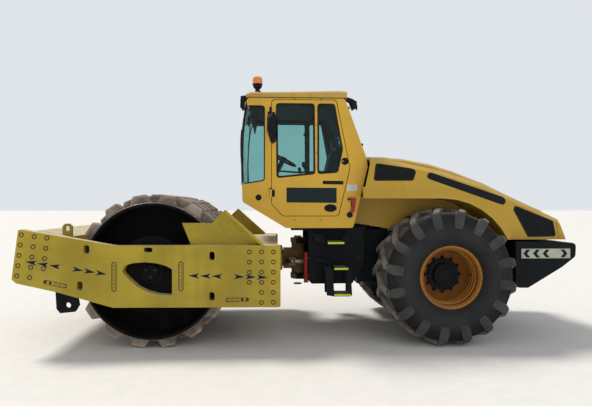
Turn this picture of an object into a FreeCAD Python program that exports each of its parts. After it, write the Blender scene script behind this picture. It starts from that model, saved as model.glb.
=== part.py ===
"""Articulated single drum soil compactor with a padfoot drum.

Frame: +X forward (drum end), +Y to the driver's left, +Z up, millimetres.
The origin lies on the ground under the middle of the machine.
Lengths run as chains from the steering pivot: forward through the front
frame to the drum and the front girder, and back through the rear frame to
the wheels and the counterweight.
"""
import FreeCAD, Part
import math
import os
import re
import Sketcher

V = FreeCAD.Vector
ALONG_Y = V(0, 1, 0)
ALONG_Z = V(0, 0, 1)

doc = FreeCAD.newDocument("RoadRoller")
sheet = doc.addObject("Spreadsheet::Sheet", "Sizes")

# Driving dimensions: name, value, what it is.
SIZES = [
    ("pivot_x", 45, "steering pivot ahead of the origin"),
    # Front frame and drum.
    ("joint_len", 257, "steering pivot to the rear end of the side beams"),
    ("cross_set", 28, "rear crossbeam inside the ends of the side beams"),
    ("cross_d", 450, "rear crossbeam, front to back"),
    ("pad_gap", 90, "pad tips to the rear crossbeam"),
    ("shell_r", 780, "outer radius of the drum shell"),
    ("shell_t", 35, "wall of the drum shell"),
    ("pad_high", 100, "height of a pad above the shell"),
    ("pad_len", 240, "pad round the drum, at its foot"),
    ("pad_w", 155, "pad across the drum, at its foot"),
    ("drum_w", 2130, "drum width"),
    ("drum_gap", 15, "drum to a side beam"),
    ("beam_t", 115, "thickness of a side beam"),
    ("beam_up", 303, "top of the side beams above the drum axis"),
    ("beam_down", 393, "bottom of the side beams below the drum axis"),
    ("beam_round", 24, "rounding of the side beam's corners and cut-outs"),
    ("girder_gap", 150, "pad tips to the front girder"),
    ("girder_d", 380, "front girder, front to back"),
    ("girder_t", 30, "plate of the front girder"),
    ("nose_d", 80, "side beams ahead of the front girder"),
    ("disc_y", 700, "middle of the machine to a drum disc"),
    ("disc_t", 30, "thickness of a drum disc"),
    ("spindle_r", 170, "drum spindle radius"),
    ("flange_r", 400, "radius of the drum carrier's flange"),
    ("flange_t", 40, "thickness of the drum carrier's flange"),
    ("guard_t", 20, "plate of the guards"),
    ("guard_high", 395, "height of the guards above the side beams"),
    ("scraper_d", 60, "side of the scraper bars"),
    ("tooth_w", 30, "width of a scraper tooth"),
    ("tooth_gap", 20, "scraper teeth to the drum shell"),
    ("lift_r", 30, "bore of a lifting eye"),
    ("lift_t", 40, "thickness of a lifting eye"),
    ("lift_y", 700, "middle of the machine to a lifting eye"),
    ("tow_r", 32, "bore of a tow bracket"),
    ("tow_t", 40, "thickness of a tow bracket"),
    ("tow_gap", 150, "side beam to a tow bracket"),
    # Centre joint and steering.
    ("pin_r", 40, "steering pin radius"),
    ("pin_span", 420, "steering pin between the rear frame's ears"),
    ("ear_t", 60, "thickness of the rear frame's ears"),
    ("ear_gap", 5, "gap between pieces that swing past each other"),
    ("swing_r", 110, "oscillation shaft radius"),
    ("yoke_fore", 85, "cylinder eyes ahead of the steering pivot"),
    ("yoke_y", 260, "cylinder eyes to the middle of the machine"),
    ("ram_back", 665, "cylinder pins behind the steering pivot"),
    ("ram_y", 230, "cylinder pins to the middle of the machine"),
    ("ram_len", 500, "length of a cylinder barrel"),
    ("ram_r", 48, "outer radius of a cylinder barrel"),
    ("ram_rod_r", 28, "radius of a piston rod"),
    ("ram_pin_r", 20, "radius of a cylinder pin"),
    ("eye_t", 40, "thickness of a cylinder's eyes"),
    ("fit", 0.05, "radial clearance of every running fit"),
    # Rear frame, wheels and counterweight.
    ("panel_back", 105, "steering pivot to the frame's side panels"),
    ("panel_len", 700, "length of the frame's side panels"),
    ("panel_half", 570, "half width over the frame's side panels"),
    ("panel_t", 40, "thickness of the frame's side panels"),
    ("panel_low", 150, "bottom of the side panels below the wheel axis"),
    ("frame_high", 705, "height of the rear frame under the cab"),
    ("deck_t", 35, "thickness of the deck under the cab"),
    ("tyre_gap", 100, "side panels to the tyres"),
    ("tyre_r", 800, "tyre radius over the lugs"),
    ("tyre_w", 715, "tyre width"),
    ("lug_high", 45, "height of a tyre lug"),
    ("rim_r", 367, "rim flange radius"),
    ("rim_t", 20, "plate of the rim"),
    ("hub_r", 190, "hub radius"),
    ("axle_r", 70, "wheel spindle radius"),
    ("rail_gap", 40, "tyres to the frame rails"),
    ("rail_t", 40, "thickness of a frame rail"),
    ("rail_high", 250, "height of the frame rails"),
    ("rail_up", 130, "bottom of the frame rails above the wheel axis"),
    ("weight_gap", 40, "tyres to the counterweight"),
    ("weight_d", 740, "counterweight, front to back"),
    ("weight_out", 100, "counterweight beyond the side of the hood"),
    ("weight_round", 50, "rounding of the counterweight"),
    ("tread_t", 30, "thickness of a step tread"),
    ("leg_t", 12, "plate of the step's arms and legs"),
    # Cab.
    ("cab_fore", 656, "steering pivot to the front of the roof"),
    ("cab_half", 760, "half width of the cab"),
    ("cab_t", 40, "wall of the cab frame"),
    ("cab_high", 1577, "height of the cab up to its roof"),
    ("cab_round", 45, "rounding of the cab's openings"),
    ("roof_t", 78, "thickness of the roof"),
    ("screen_out", 25, "crown of the windscreen"),
    ("rear_out", 50, "crown of the rear screen"),
    ("glass_t", 8, "thickness of the panes"),
    ("door_gap", 7, "gap round a door"),
    ("hinge_out", 15, "door hinge axis outside the cab wall"),
    ("hinge_r", 14, "radius of a door hinge knuckle"),
    ("hinge_pin_r", 8, "radius of a door hinge pin"),
    ("seat_half", 260, "half width of the seat"),
    ("mirror_y", 1010, "middle of the machine to a mirror"),
    ("mirror_w", 180, "width of a mirror"),
    ("wheel_r", 185, "radius of the steering wheel"),
    # Hood.
    ("hood_gap", 8, "cab to the hood"),
    ("hood_half", 900, "half width of the hood"),
    ("hood_t", 20, "wall of the hood"),
    ("ridge_half", 400, "half width of the hood's raised middle"),
    ("hood_over", 66, "counterweight beyond the rear of the hood"),
    ("flare_out", 85, "fender flare beyond the side of the hood"),
    ("arch_gap", 70, "tyre to the wheel arch"),
    ("lid_pin_r", 12, "radius of a hood hinge pin"),
]
for row, (name, value, note) in enumerate(SIZES, start=1):
    sheet.set(f"A{row}", note)
    sheet.set(f"B{row}", str(value))
    sheet.setAlias(f"B{row}", name)
doc.recompute()

NAMES = {name for name, value, note in SIZES}
PARTS = []

# Counts.
PADS = 16
ROWS = 10
LUGS = 16

# Places that several pieces share, as formulas over the sizes above.
TIP_R = "(shell_r + pad_high)"
DRUM_Z = TIP_R
BEAM_IN = "(drum_w / 2 + drum_gap)"
HALF = f"({BEAM_IN} + beam_t)"
BEAM_X = "(pivot_x + joint_len)"
CROSS_X = f"({BEAM_X} + cross_set)"
DRUM_X = f"({CROSS_X} + cross_d + pad_gap + {TIP_R})"
GIRDER_X = f"({DRUM_X} + {TIP_R} + girder_gap)"
FRONT_X = f"({GIRDER_X} + girder_d + nose_d)"
BEAM_TOP = f"({DRUM_Z} + beam_up)"
BEAM_LOW = f"({DRUM_Z} - beam_down)"
WHEEL_X = "(pivot_x - panel_back - panel_len - tyre_gap - tyre_r)"
WHEEL_Z = "tyre_r"
TYRE_Y = f"({HALF} - tyre_w / 2)"
TYRE_IN = f"({HALF} - tyre_w)"
WEIGHT_X = f"({WHEEL_X} - tyre_r - weight_gap)"
REAR_X = f"({WEIGHT_X} - weight_d)"
FRAME_LOW = f"({WHEEL_Z} - panel_low)"
CAB_LOW = f"({FRAME_LOW} + frame_high)"
CAB_TOP = f"({CAB_LOW} + cab_high)"
CAB_X = "(pivot_x + cab_fore)"
CAB_IN = "(cab_half - cab_t)"
HOOD_X = f"({CAB_X} - 1473 - hood_gap)"
HOOD_END = f"({REAR_X} + hood_over)"
HOOD_LOW = f"({CAB_LOW} - 139)"
PIN_LOW = f"({FRAME_LOW} + ear_t)"
PIN_HIGH = f"({PIN_LOW} + pin_span)"
SWING_Z = f"({PIN_LOW} + pin_span / 2)"
RAM_Z = f"({SWING_Z} - 20)"
RAIL_LOW = f"({WHEEL_Z} + rail_up)"
RAIL_TOP = f"({RAIL_LOW} + rail_high + 20)"
RAIL_OUT = f"({TYRE_IN} - rail_gap)"


def bind(text):
    """Turn a formula over the size names into one over the sheet."""
    return re.sub(r"[a-z]\w*", lambda m: "Sizes." + m.group(0) if m.group(0) in NAMES else m.group(0), str(text))


def size(text):
    """The present value of a formula over the size names."""
    return float(sheet.evalExpression(bind(text)))


def point(x, y, z):
    return V(size(x), size(y), size(z))


def keep(obj, label):
    """Register an object as a finished sub-part."""
    obj.Label = label
    PARTS.append(obj)
    return obj


def add_sketch(body, role, offset, loops):
    """A sketch of closed loops on one of the body's own origin planes."""
    plane = [f for f in body.Origin.OriginFeatures if f.Role == role][0]
    sketch = body.newObject("Sketcher::SketchObject", "Sketch")
    sketch.AttachmentSupport = [(plane, "")]
    sketch.MapMode = "FlatFace"
    sketch.setExpression("AttachmentOffset.Base.z", bind(offset))
    first = 0
    for loop in loops:
        if loop[0] == "circle":
            u, v, radius = loop[1:]
            sketch.addGeometry(Part.Circle(V(size(u), size(v), 0), ALONG_Z, size(radius)), False)
            rules = [("DistanceX", -1, 1, first, 3, u), ("DistanceY", -1, 1, first, 3, v)]
            k = sketch.addConstraint(Sketcher.Constraint("Radius", first, size(radius)))
            sketch.setExpression(f"Constraints[{k}]", bind(radius))
            first += 1
        else:
            count = len(loop)
            ends = [V(size(u), size(v), 0) for u, v in loop]
            lines = [Part.LineSegment(ends[i], ends[(i + 1) % count]) for i in range(count)]
            sketch.addGeometry(lines, False)
            rules = []
            for i, (u, v) in enumerate(loop):
                after = first + (i + 1) % count
                sketch.addConstraint(Sketcher.Constraint("Coincident", first + i, 2, after, 1))
                rules.append(("DistanceX", -1, 1, first + i, 1, u))
                rules.append(("DistanceY", -1, 1, first + i, 1, v))
            first += count
        for kind, a, pa, b, pb, text in rules:
            k = sketch.addConstraint(Sketcher.Constraint(kind, a, pa, b, pb, size(text)))
            sketch.setExpression(f"Constraints[{k}]", bind(text))
    return sketch


def pad_body(label, plane, loops, offset, depth, rounding=None):
    """A body with one padded sketch, its corners rounded where asked."""
    body = doc.addObject("PartDesign::Body", "Body_" + label)
    pad = body.newObject("PartDesign::Pad", "Pad")
    pad.Profile = add_sketch(body, plane, offset, loops)
    pad.setExpression("Length", bind(depth))
    if rounding:
        doc.recompute()
        corners = []
        for number, edge in enumerate(pad.Shape.Edges, start=1):
            ends = [v.Point for v in edge.Vertexes]
            straight = len(ends) == 2 and edge.Curve.TypeId == "Part::GeomLine"
            if straight and abs(edge.Length - size(depth)) < 0.01:
                corners.append(f"Edge{number}")
        fillet = body.newObject("PartDesign::Fillet", "Rounding")
        fillet.Base = (pad, corners)
        fillet.setExpression("Radius", bind(rounding))
    return body


def plate_y(label, loops, y_high, depth, rounding=None):
    """An X-Z outline padded from the plane Y = y_high towards -Y."""
    return pad_body(label, "XZ_Plane", loops, f"-({y_high})", depth, rounding)


def plate_z(label, loops, z_low, depth, rounding=None):
    """An X-Y outline padded from the plane Z = z_low upwards."""
    return pad_body(label, "XY_Plane", loops, z_low, depth, rounding)


def block(x0, x1, y0, y1, z0, z1):
    """A Part::Box between two corners."""
    box = doc.addObject("Part::Box", "Block")
    for name, low, high in (("Length", x0, x1), ("Width", y0, y1), ("Height", z0, z1)):
        box.setExpression(name, bind(f"({high}) - ({low})"))
    for name, low in (("x", x0), ("y", y0), ("z", z0)):
        box.setExpression("Placement.Base." + name, bind(low))
    return box


def rod(axis, x, y, z, radius, length):
    """A Part::Cylinder that starts at a point and runs along +X, +Y or +Z."""
    cylinder = doc.addObject("Part::Cylinder", "Rod")
    turn = {"X": (ALONG_Y, 90), "Y": (V(1, 0, 0), -90), "Z": (ALONG_Z, 0)}[axis]
    cylinder.Placement = FreeCAD.Placement(V(0, 0, 0), FreeCAD.Rotation(*turn))
    cylinder.setExpression("Radius", bind(radius))
    cylinder.setExpression("Height", bind(length))
    for name, start in (("x", x), ("y", y), ("z", z)):
        cylinder.setExpression("Placement.Base." + name, bind(start))
    return cylinder


def fuse(shapes):
    joined = doc.addObject("Part::MultiFuse", "Fuse")
    joined.Shapes = shapes
    joined.Refine = True
    return joined


def cut(base, tools):
    left = doc.addObject("Part::Cut", "Cut")
    left.Base = base
    left.Tool = tools[0] if len(tools) == 1 else fuse(tools)
    left.Refine = True
    return left


def mirror(source):
    """The same piece on the other side of the machine."""
    other = doc.addObject("Part::Mirroring", "Mirror")
    other.Source = source
    other.Normal = ALONG_Y
    return other


def both_sides(obj, label):
    keep(obj, label + "_left")
    keep(mirror(obj), label + "_right")


def solid(name, shape):
    """A Part::Feature for a form that sketches and primitives can't give."""
    feature = doc.addObject("Part::Feature", name)
    feature.Shape = shape
    return feature


def rounded(points, radius, steps=4):
    """The outline with every corner drawn as a short row of points."""
    spots = [V(size(u), size(v), 0) for u, v in points]
    line = []
    for i, corner in enumerate(spots):
        back, ahead = spots[i - 1] - corner, spots[(i + 1) % len(spots)] - corner
        reach = radius / math.tan(back.getAngle(ahead) / 2)
        reach = min(reach, 0.45 * back.Length, 0.45 * ahead.Length)
        start, end = corner + back * (reach / back.Length), corner + ahead * (reach / ahead.Length)
        for k in range(steps + 1):
            f = k / steps
            spot = start * (1 - f) ** 2 + corner * 2 * f * (1 - f) + end * f ** 2
            line.append((spot.x, spot.y))
    return line


def prism_y(points, y0, y1):
    """A solid with an X-Z outline between two Y planes."""
    low = size(y0)
    corners = [V(size(x), low, size(z)) for x, z in points]
    face = Part.Face(Part.makePolygon(corners + corners[:1]))
    return face.extrude(V(0, size(y1) - low, 0))


def ring_about_y(points, x, z):
    """Revolve (radius, y) points about the cross axis through x, z."""
    corners = [V(size(x), size(y), size(z) + size(r)) for r, y in points]
    face = Part.Face(Part.makePolygon(corners + corners[:1]))
    return face.revolve(V(size(x), 0, size(z)), ALONG_Y, 360)


def flat_faces(corners):
    """One flat face through the corners, or a fan of triangles where they aren't in a plane."""
    normal = (corners[1] - corners[0]).cross(corners[2] - corners[0])
    if len(corners) > 3 and normal.Length > 0:
        normal.normalize()
        if max(abs(normal.dot(c - corners[0])) for c in corners[3:]) > 1e-6:
            corner = corners[0]
            return [Part.Face(Part.makePolygon([corner, corners[i], corners[i + 1], corner]))
                    for i in range(1, len(corners) - 1)]
    return [Part.Face(Part.makePolygon(corners + corners[:1]))]


def skin(sections, closed=False):
    """A solid through sections that have the same number of corners."""
    faces = []
    pairs = list(zip(sections, sections[1:]))
    if closed:
        pairs.append((sections[-1], sections[0]))
    else:
        faces += flat_faces(sections[0]) + flat_faces(sections[-1])
    for a, b in pairs:
        for i in range(len(a)):
            after = (i + 1) % len(a)
            faces += flat_faces([a[i], a[after], b[after], b[i]])
    body = Part.Solid(Part.makeShell(faces))
    if body.Volume < 0:
        body.reverse()
    return body


# Side beams: thick plates that carry the drum, with slots and the drive opening.
beam_outline = [
    (BEAM_X, BEAM_LOW), (f"{DRUM_X} + 403", f"{BEAM_LOW} + 14"), (f"{GIRDER_X} - 28", f"{BEAM_LOW} + 188"),
    (f"{FRONT_X} - 49", f"{DRUM_Z} - 104"), (FRONT_X, f"{DRUM_Z} - 59"),
    (f"{FRONT_X} - 69", f"{DRUM_Z} + 489"), (f"{DRUM_X} + 382", BEAM_TOP), (BEAM_X, BEAM_TOP),
]
DRIVE_EDGE = [
    (299, 16), (274, -20), (216, -80), (132, -155), (28, -208), (-98, -241), (-245, -251), (-243, 42),
    (-181, 76), (-77, 107), (49, 120), (174, 112), (241, 96), (282, 69),
]
drive_opening = [(f"{DRUM_X} + {x}", f"{DRUM_Z} + {z}") for x, z in DRIVE_EDGE]
oval = [(f"{DRUM_X} + {x}", f"{DRUM_Z} + {z}") for x, z in ((-29, 228), (67, 228), (67, 282), (-29, 282))]
SLOTS = [(688, 264), (759, -137), (-683, 186), (-683, -266)]
slot_loops = [
    [(f"{DRUM_X} + {x} - 30", f"{DRUM_Z} + {z} - 52"), (f"{DRUM_X} + {x} + 30", f"{DRUM_Z} + {z} - 44"),
     (f"{DRUM_X} + {x} + 30", f"{DRUM_Z} + {z} + 52"), (f"{DRUM_X} + {x} - 30", f"{DRUM_Z} + {z} + 44")]
    for x, z in SLOTS
]
beam = plate_y("side_beam", [beam_outline, drive_opening, oval] + slot_loops, HALF, "beam_t", "beam_round")
both_sides(beam, "side_beam")

# Guard plates that stand on the rear ends of the beams, with an outward flange.
guard_web = plate_y("guard_web", [[
    (f"{BEAM_X} + 199", BEAM_TOP), (f"{BEAM_X} + 1012", BEAM_TOP), (f"{BEAM_X} + 1112", f"{BEAM_TOP} + 248"),
    (f"{BEAM_X} + 776", f"{BEAM_TOP} + 245"), (f"{BEAM_X} + 620", f"{BEAM_TOP} + guard_high"),
    (f"{BEAM_X} + 199", f"{BEAM_TOP} + 18"),
]], f"{BEAM_IN} + guard_t", "guard_t")
guard_flange = plate_y("guard_flange", [[
    (f"{BEAM_X} + 199", BEAM_TOP), (f"{BEAM_X} + 199 + guard_t", BEAM_TOP),
    (f"{BEAM_X} + 620 + 0.7 * guard_t", f"{BEAM_TOP} + guard_high - 0.7 * guard_t"),
    (f"{BEAM_X} + 620", f"{BEAM_TOP} + guard_high"), (f"{BEAM_X} + 199", f"{BEAM_TOP} + 18"),
]], HALF, "beam_t")
both_sides(fuse([guard_web, guard_flange]), "guard")

# Front crossbeam: a box girder with two lifting eyes on top.
front_bits = [plate_y("front_girder", [
    [(GIRDER_X, f"{DRUM_Z} - 104"), (f"{FRONT_X} - nose_d", f"{DRUM_Z} - 104"),
     (f"{FRONT_X} - nose_d + 35", f"{DRUM_Z} - 53"), (f"{FRONT_X} - nose_d - 20", f"{DRUM_Z} + 457"),
     (GIRDER_X, f"{DRUM_Z} + 377")],
    [(f"{GIRDER_X} + girder_t", f"{DRUM_Z} - 104 + girder_t"),
     (f"{FRONT_X} - nose_d - girder_t / 2", f"{DRUM_Z} - 104 + girder_t"),
     (f"{FRONT_X} - nose_d + 35 - girder_t", f"{DRUM_Z} - 45"),
     (f"{FRONT_X} - nose_d - 20 - girder_t", f"{DRUM_Z} + 457 - 1.4 * girder_t"),
     (f"{GIRDER_X} + girder_t", f"{DRUM_Z} + 377 - girder_t")],
], BEAM_IN, f"2 * {BEAM_IN}")]
for middle in ("lift_y", "-lift_y"):
    front_bits.append(plate_y("lifting_eye", [
        [(GIRDER_X, f"{DRUM_Z} + 365"), (f"{GIRDER_X} + 110", f"{DRUM_Z} + 365"),
         (f"{GIRDER_X} + 110", f"{DRUM_Z} + 502"), (f"{GIRDER_X} + 80", f"{DRUM_Z} + 532"),
         (f"{GIRDER_X} + 30", f"{DRUM_Z} + 532"), (GIRDER_X, f"{DRUM_Z} + 502")],
        ("circle", f"{GIRDER_X} + 55", f"{DRUM_Z} + 472", "lift_r"),
    ], f"{middle} + lift_t / 2", "lift_t"))
keep(fuse(front_bits), "front_crossbeam")

# Rear crossbeam: the head of the front frame, bored for the oscillation shaft.
head = plate_y("head", [[
    (CROSS_X, f"{SWING_Z} - 320"), (f"{CROSS_X} + cross_d - 90", f"{SWING_Z} - 320"),
    (f"{CROSS_X} + cross_d", f"{SWING_Z} - 230"), (f"{CROSS_X} + cross_d", f"{SWING_Z} + 170"),
    (f"{CROSS_X} + cross_d - 90", f"{SWING_Z} + 260"), (CROSS_X, f"{SWING_Z} + 260"),
]], BEAM_IN, f"2 * {BEAM_IN}")
boss = rod("X", f"{BEAM_X} - 42", 0, SWING_Z, "swing_r + 60", 90)
swing_bore = rod("X", f"{BEAM_X} - 60", 0, SWING_Z, "swing_r + fit", 360)
keep(cut(fuse([head, boss]), [swing_bore]), "rear_crossbeam")

# Drum shell: as many flats as pads in two rows, and staggered rows of tapered pads.
drum_w = size("drum_w")
flats = 2 * PADS
corner_r = size("shell_r") / math.cos(math.pi / flats)
corners = [
    V(corner_r * math.sin((2 * i + 1) * math.pi / flats), -drum_w / 2,
      corner_r * math.cos((2 * i + 1) * math.pi / flats))
    for i in range(flats)
]
shell = Part.Face(Part.makePolygon(corners + corners[:1])).extrude(V(0, drum_w, 0))
shell = shell.cut(Part.makeCylinder(size("shell_r - shell_t"), drum_w + 20, V(0, -drum_w / 2 - 10, 0), ALONG_Y))
pad_rings = []
for length, width, level in (("pad_len", "pad_w", "shell_r - 10"), ("pad_len - pad_high", "pad_w - 45", TIP_R)):
    a, b, level = size(length) / 2, size(width) / 2, size(level)
    pad_rings.append([V(-a, -b, level), V(a, -b, level), V(a, b, level), V(-a, b, level)])
pad_form = skin(pad_rings)
row_step = (drum_w - size("pad_w") - 58) / (ROWS - 1)
pads = []
for row in range(ROWS):
    for column in range(PADS):
        one = pad_form.copy()
        one.rotate(V(0, 0, 0), ALONG_Y, 360 / PADS * (column + 0.5 * (row % 2)))
        one.translate(V(0, (row - (ROWS - 1) / 2) * row_step, 0))
        pads.append(one)
shell = shell.multiFuse(pads)
shell.translate(point(DRUM_X, 0, DRUM_Z))
keep(solid("Shell", shell), "drum_shell")

disc = cut(
    rod("Y", DRUM_X, "disc_y - disc_t / 2", DRUM_Z, "shell_r - shell_t", "disc_t"),
    [rod("Y", DRUM_X, "disc_y - disc_t", DRUM_Z, "spindle_r + fit", "2 * disc_t")])
both_sides(disc, "drum_disc")
carrier = fuse([
    rod("Y", DRUM_X, f"{BEAM_IN} - flange_t", DRUM_Z, "flange_r", "flange_t"),
    rod("Y", DRUM_X, "disc_y - disc_t", DRUM_Z, "spindle_r", f"{BEAM_IN} - flange_t / 2 - disc_y + disc_t"),
])
both_sides(carrier, "drum_carrier")

# Scrapers: toothed bars that reach between the rows of pads.
for label, angle in (("scraper_front", 97), ("scraper_rear", -112)):
    low = size(f"{TIP_R} + 2 * tooth_gap")
    side, tooth = size("scraper_d"), size("tooth_w")
    comb = Part.makeBox(side, 2 * size(BEAM_IN), side, V(-side / 2, -size(BEAM_IN), low))
    foot = size("shell_r + tooth_gap")
    teeth = []
    for gap in range(ROWS - 1):
        middle = (gap - (ROWS - 2) / 2) * row_step
        teeth.append(Part.makeBox(tooth, tooth, low + side / 2 - foot, V(-tooth / 2, middle - tooth / 2, foot)))
    comb = comb.multiFuse(teeth)
    comb.rotate(V(0, 0, 0), ALONG_Y, angle)
    comb.translate(point(DRUM_X, 0, DRUM_Z))
    keep(solid("Comb", comb), label)

# Tow brackets under the front girder.
tow = plate_y("tow_bracket", [
    [(f"{GIRDER_X} - 20", f"{DRUM_Z} - 104"), (f"{GIRDER_X} - 20", f"{DRUM_Z} - 200"),
     (f"{GIRDER_X} - 145", f"{DRUM_Z} - 300"), (f"{GIRDER_X} - 165", f"{DRUM_Z} - 400"),
     (f"{GIRDER_X} - 120", f"{DRUM_Z} - 475"), (f"{GIRDER_X} + 50", f"{DRUM_Z} - 490"),
     (f"{GIRDER_X} + 90", f"{DRUM_Z} - 440"), (f"{GIRDER_X} + 110", f"{DRUM_Z} - 104")],
    ("circle", f"{GIRDER_X} - 40", f"{DRUM_Z} - 400", "tow_r"),
], f"{BEAM_IN} - tow_gap", "tow_t")
both_sides(tow, "tow_bracket")

# Centre joint: swings on the steering pin and carries the oscillation shaft.
YOKE_X = "(pivot_x + yoke_fore)"
RAM_X = "(pivot_x - ram_back)"
LEAF = 25
centre_bits = [
    rod("Z", "pivot_x", 0, f"{PIN_LOW} + ear_gap", "pin_r + 45", "pin_span - 2 * ear_gap"),
    block("pivot_x", f"{BEAM_X} - 60", -120, 120, f"{SWING_Z} - 130", f"{SWING_Z} + 130"),
    rod("X", f"{BEAM_X} - 90", 0, SWING_Z, "swing_r", 340),
]
leaf_levels = (f"{RAM_Z} - eye_t / 2 - ear_gap - {LEAF}", f"{RAM_Z} + eye_t / 2 + ear_gap")
for level in leaf_levels:
    centre_bits.append(plate_z("yoke", [[
        ("pivot_x", -90), (f"{YOKE_X} - 45", "-yoke_y - 45"), (f"{YOKE_X} + 45", "-yoke_y - 45"),
        (f"{BEAM_X} - 60", -110), (f"{BEAM_X} - 60", 110), (f"{YOKE_X} + 45", "yoke_y + 45"),
        (f"{YOKE_X} - 45", "yoke_y + 45"), ("pivot_x", 90),
    ]], level, LEAF))
pin_hole = rod("Z", "pivot_x", 0, f"{PIN_LOW} - 10", "pin_r + fit", "pin_span + 20")
keep(cut(fuse(centre_bits), [pin_hole]), "centre_joint")
keep(rod("Z", "pivot_x", 0, f"{PIN_LOW} - ear_t - 15", "pin_r", "pin_span + 2 * ear_t + 30"), "centre_pin")

# Steering cylinders: barrels pinned to the rear frame, rods reaching to the yoke.
ram_x, ram_y, yoke_x, yoke_y = size(RAM_X), size("ram_y"), size(YOKE_X), size("yoke_y")
ram_angle = math.degrees(math.atan2(yoke_y - ram_y, yoke_x - ram_x))
reach = math.hypot(yoke_y - ram_y, yoke_x - ram_x)
ram_len, ram_r, rod_r, eye_t = size("ram_len"), size("ram_r"), size("ram_rod_r"), size("eye_t")
bore_r = ram_r - 12
travel = 155
ALONG_X = V(1, 0, 0)
barrel = Part.makeCylinder(ram_r, ram_len - 60, V(60, 0, 0), ALONG_X)
barrel = barrel.fuse(Part.makeCylinder(45, eye_t, V(0, 0, -eye_t / 2)))
barrel = barrel.fuse(Part.makeBox(65, eye_t, eye_t, V(0, -eye_t / 2, -eye_t / 2)))
barrel = barrel.cut(Part.makeCylinder(size("ram_pin_r + fit"), 2 * eye_t, V(0, 0, -eye_t)))
barrel = barrel.cut(Part.makeCylinder(bore_r, ram_len, V(75, 0, 0), ALONG_X))
piston = Part.makeCylinder(bore_r - size("fit"), 50, V(80 + travel, 0, 0), ALONG_X)
tongue = reach - 110
ram_rod = Part.makeCylinder(rod_r, tongue - 80 - travel, V(80 + travel, 0, 0), ALONG_X).fuse(piston)
ram_rod = ram_rod.fuse(Part.makeBox(110, eye_t, eye_t, V(tongue, -eye_t / 2, -eye_t / 2)))
ram_rod = ram_rod.fuse(Part.makeCylinder(40, eye_t, V(reach, 0, -eye_t / 2)))
for label, shape in (("steer_barrel", barrel), ("steer_rod", ram_rod)):
    shape.rotate(V(0, 0, 0), ALONG_Z, ram_angle)
    shape.translate(V(ram_x, ram_y, size(RAM_Z)))
    both_sides(solid("Ram", shape), label)

# Rear frame: side panels, cross web, ears for the steering pin, rails and decks.
frame_bits = []
for level in (FRAME_LOW, PIN_HIGH):
    frame_bits.append(plate_z("ear", [
        [(f"{RAM_X} - 60", -160), ("pivot_x + 30", -160), ("pivot_x + 95", -80), ("pivot_x + 95", 80),
         ("pivot_x + 30", 160), (f"{RAM_X} - 60", 160)],
        ("circle", "pivot_x", 0, "pin_r"),
    ], level, "ear_t"))
PANEL_X = "(pivot_x - panel_back)"
PANEL_END = "(pivot_x - panel_back - panel_len)"
DECK = f"({CAB_LOW} - deck_t)"
frame_bits.append(block(f"{RAM_X} - 90", f"{RAM_X} - 50", "-panel_half", "panel_half", FRAME_LOW, DECK))
frame_bits.append(block(f"{PANEL_END} - 10", PANEL_X, "-panel_half", "panel_half", DECK, CAB_LOW))
frame_bits.append(block(WEIGHT_X, f"{RAM_X} - 60", f"-{RAIL_OUT}", RAIL_OUT, f"{RAIL_TOP} - 20", RAIL_TOP))
panel_outline = [
    (PANEL_X, f"{FRAME_LOW} + 40"), (PANEL_X, DECK), (PANEL_END, DECK), (PANEL_END, f"{FRAME_LOW} + 250"),
    (f"{PANEL_END} + 150", FRAME_LOW), (f"{PANEL_X} - 40", FRAME_LOW),
]
rail_outline = [
    (f"{RAM_X} - 60", FRAME_LOW), (f"{RAM_X} - 60", DECK), (f"{WHEEL_X} + 420", DECK),
    (f"{WHEEL_X} + 300", f"{RAIL_LOW} + rail_high"), (WEIGHT_X, f"{RAIL_LOW} + rail_high"), (WEIGHT_X, RAIL_LOW),
    (f"{WHEEL_X} + 300", RAIL_LOW), (f"{WHEEL_X} + 450", FRAME_LOW),
]
for sign in ("", "-"):
    high = "panel_half" if not sign else "-panel_half + panel_t"
    frame_bits.append(plate_y("side_panel", [panel_outline], high, "panel_t"))
    high = RAIL_OUT if not sign else f"-{RAIL_OUT} + rail_t"
    frame_bits.append(plate_y("rail", [rail_outline], high, "rail_t"))
    middle = sign + "ram_y"
    for level in leaf_levels:
        frame_bits.append(block(f"{RAM_X} - 60", f"{RAM_X} + 40", f"{middle} - 50", f"{middle} + 50",
                                level, f"{level} + {LEAF}"))
    frame_bits.append(rod("Z", RAM_X, middle, leaf_levels[0], "ram_pin_r", f"eye_t + 2 * ear_gap + 2 * {LEAF}"))
keep(fuse(frame_bits), "rear_frame")

lock_bits = [rod("Z", "pivot_x - 80", "panel_half - 80", f"{FRAME_LOW} + 6", 30, 380)]
for level in (80, 300):
    lock_bits.append(block("pivot_x - 120", "pivot_x - 70", "panel_half - 90", "panel_half - panel_t",
                           f"{FRAME_LOW} + {level}", f"{FRAME_LOW} + {level} + 30"))
keep(fuse(lock_bits), "lock_bar")

engine_half = f"({TYRE_IN} - 100)"
keep(block(f"{WHEEL_X} - 600", f"{WHEEL_X} + 500", f"-{engine_half}", engine_half, RAIL_TOP, f"{RAIL_TOP} + 550"),
     "engine_block")

keep(plate_y("counterweight", [[
    (WEIGHT_X, f"{WHEEL_Z} + 395"), (WEIGHT_X, f"{WHEEL_Z} - 150"), (f"{WEIGHT_X} - 150", f"{WHEEL_Z} - 152"),
    (f"{REAR_X} + 175", f"{WHEEL_Z} + 93"), (f"{REAR_X} + 10", f"{WHEEL_Z} + 218"),
    (REAR_X, f"{WHEEL_Z} + 382"),
]], "hood_half + weight_out", "2 * (hood_half + weight_out)", "weight_round"), "counterweight")

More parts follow.
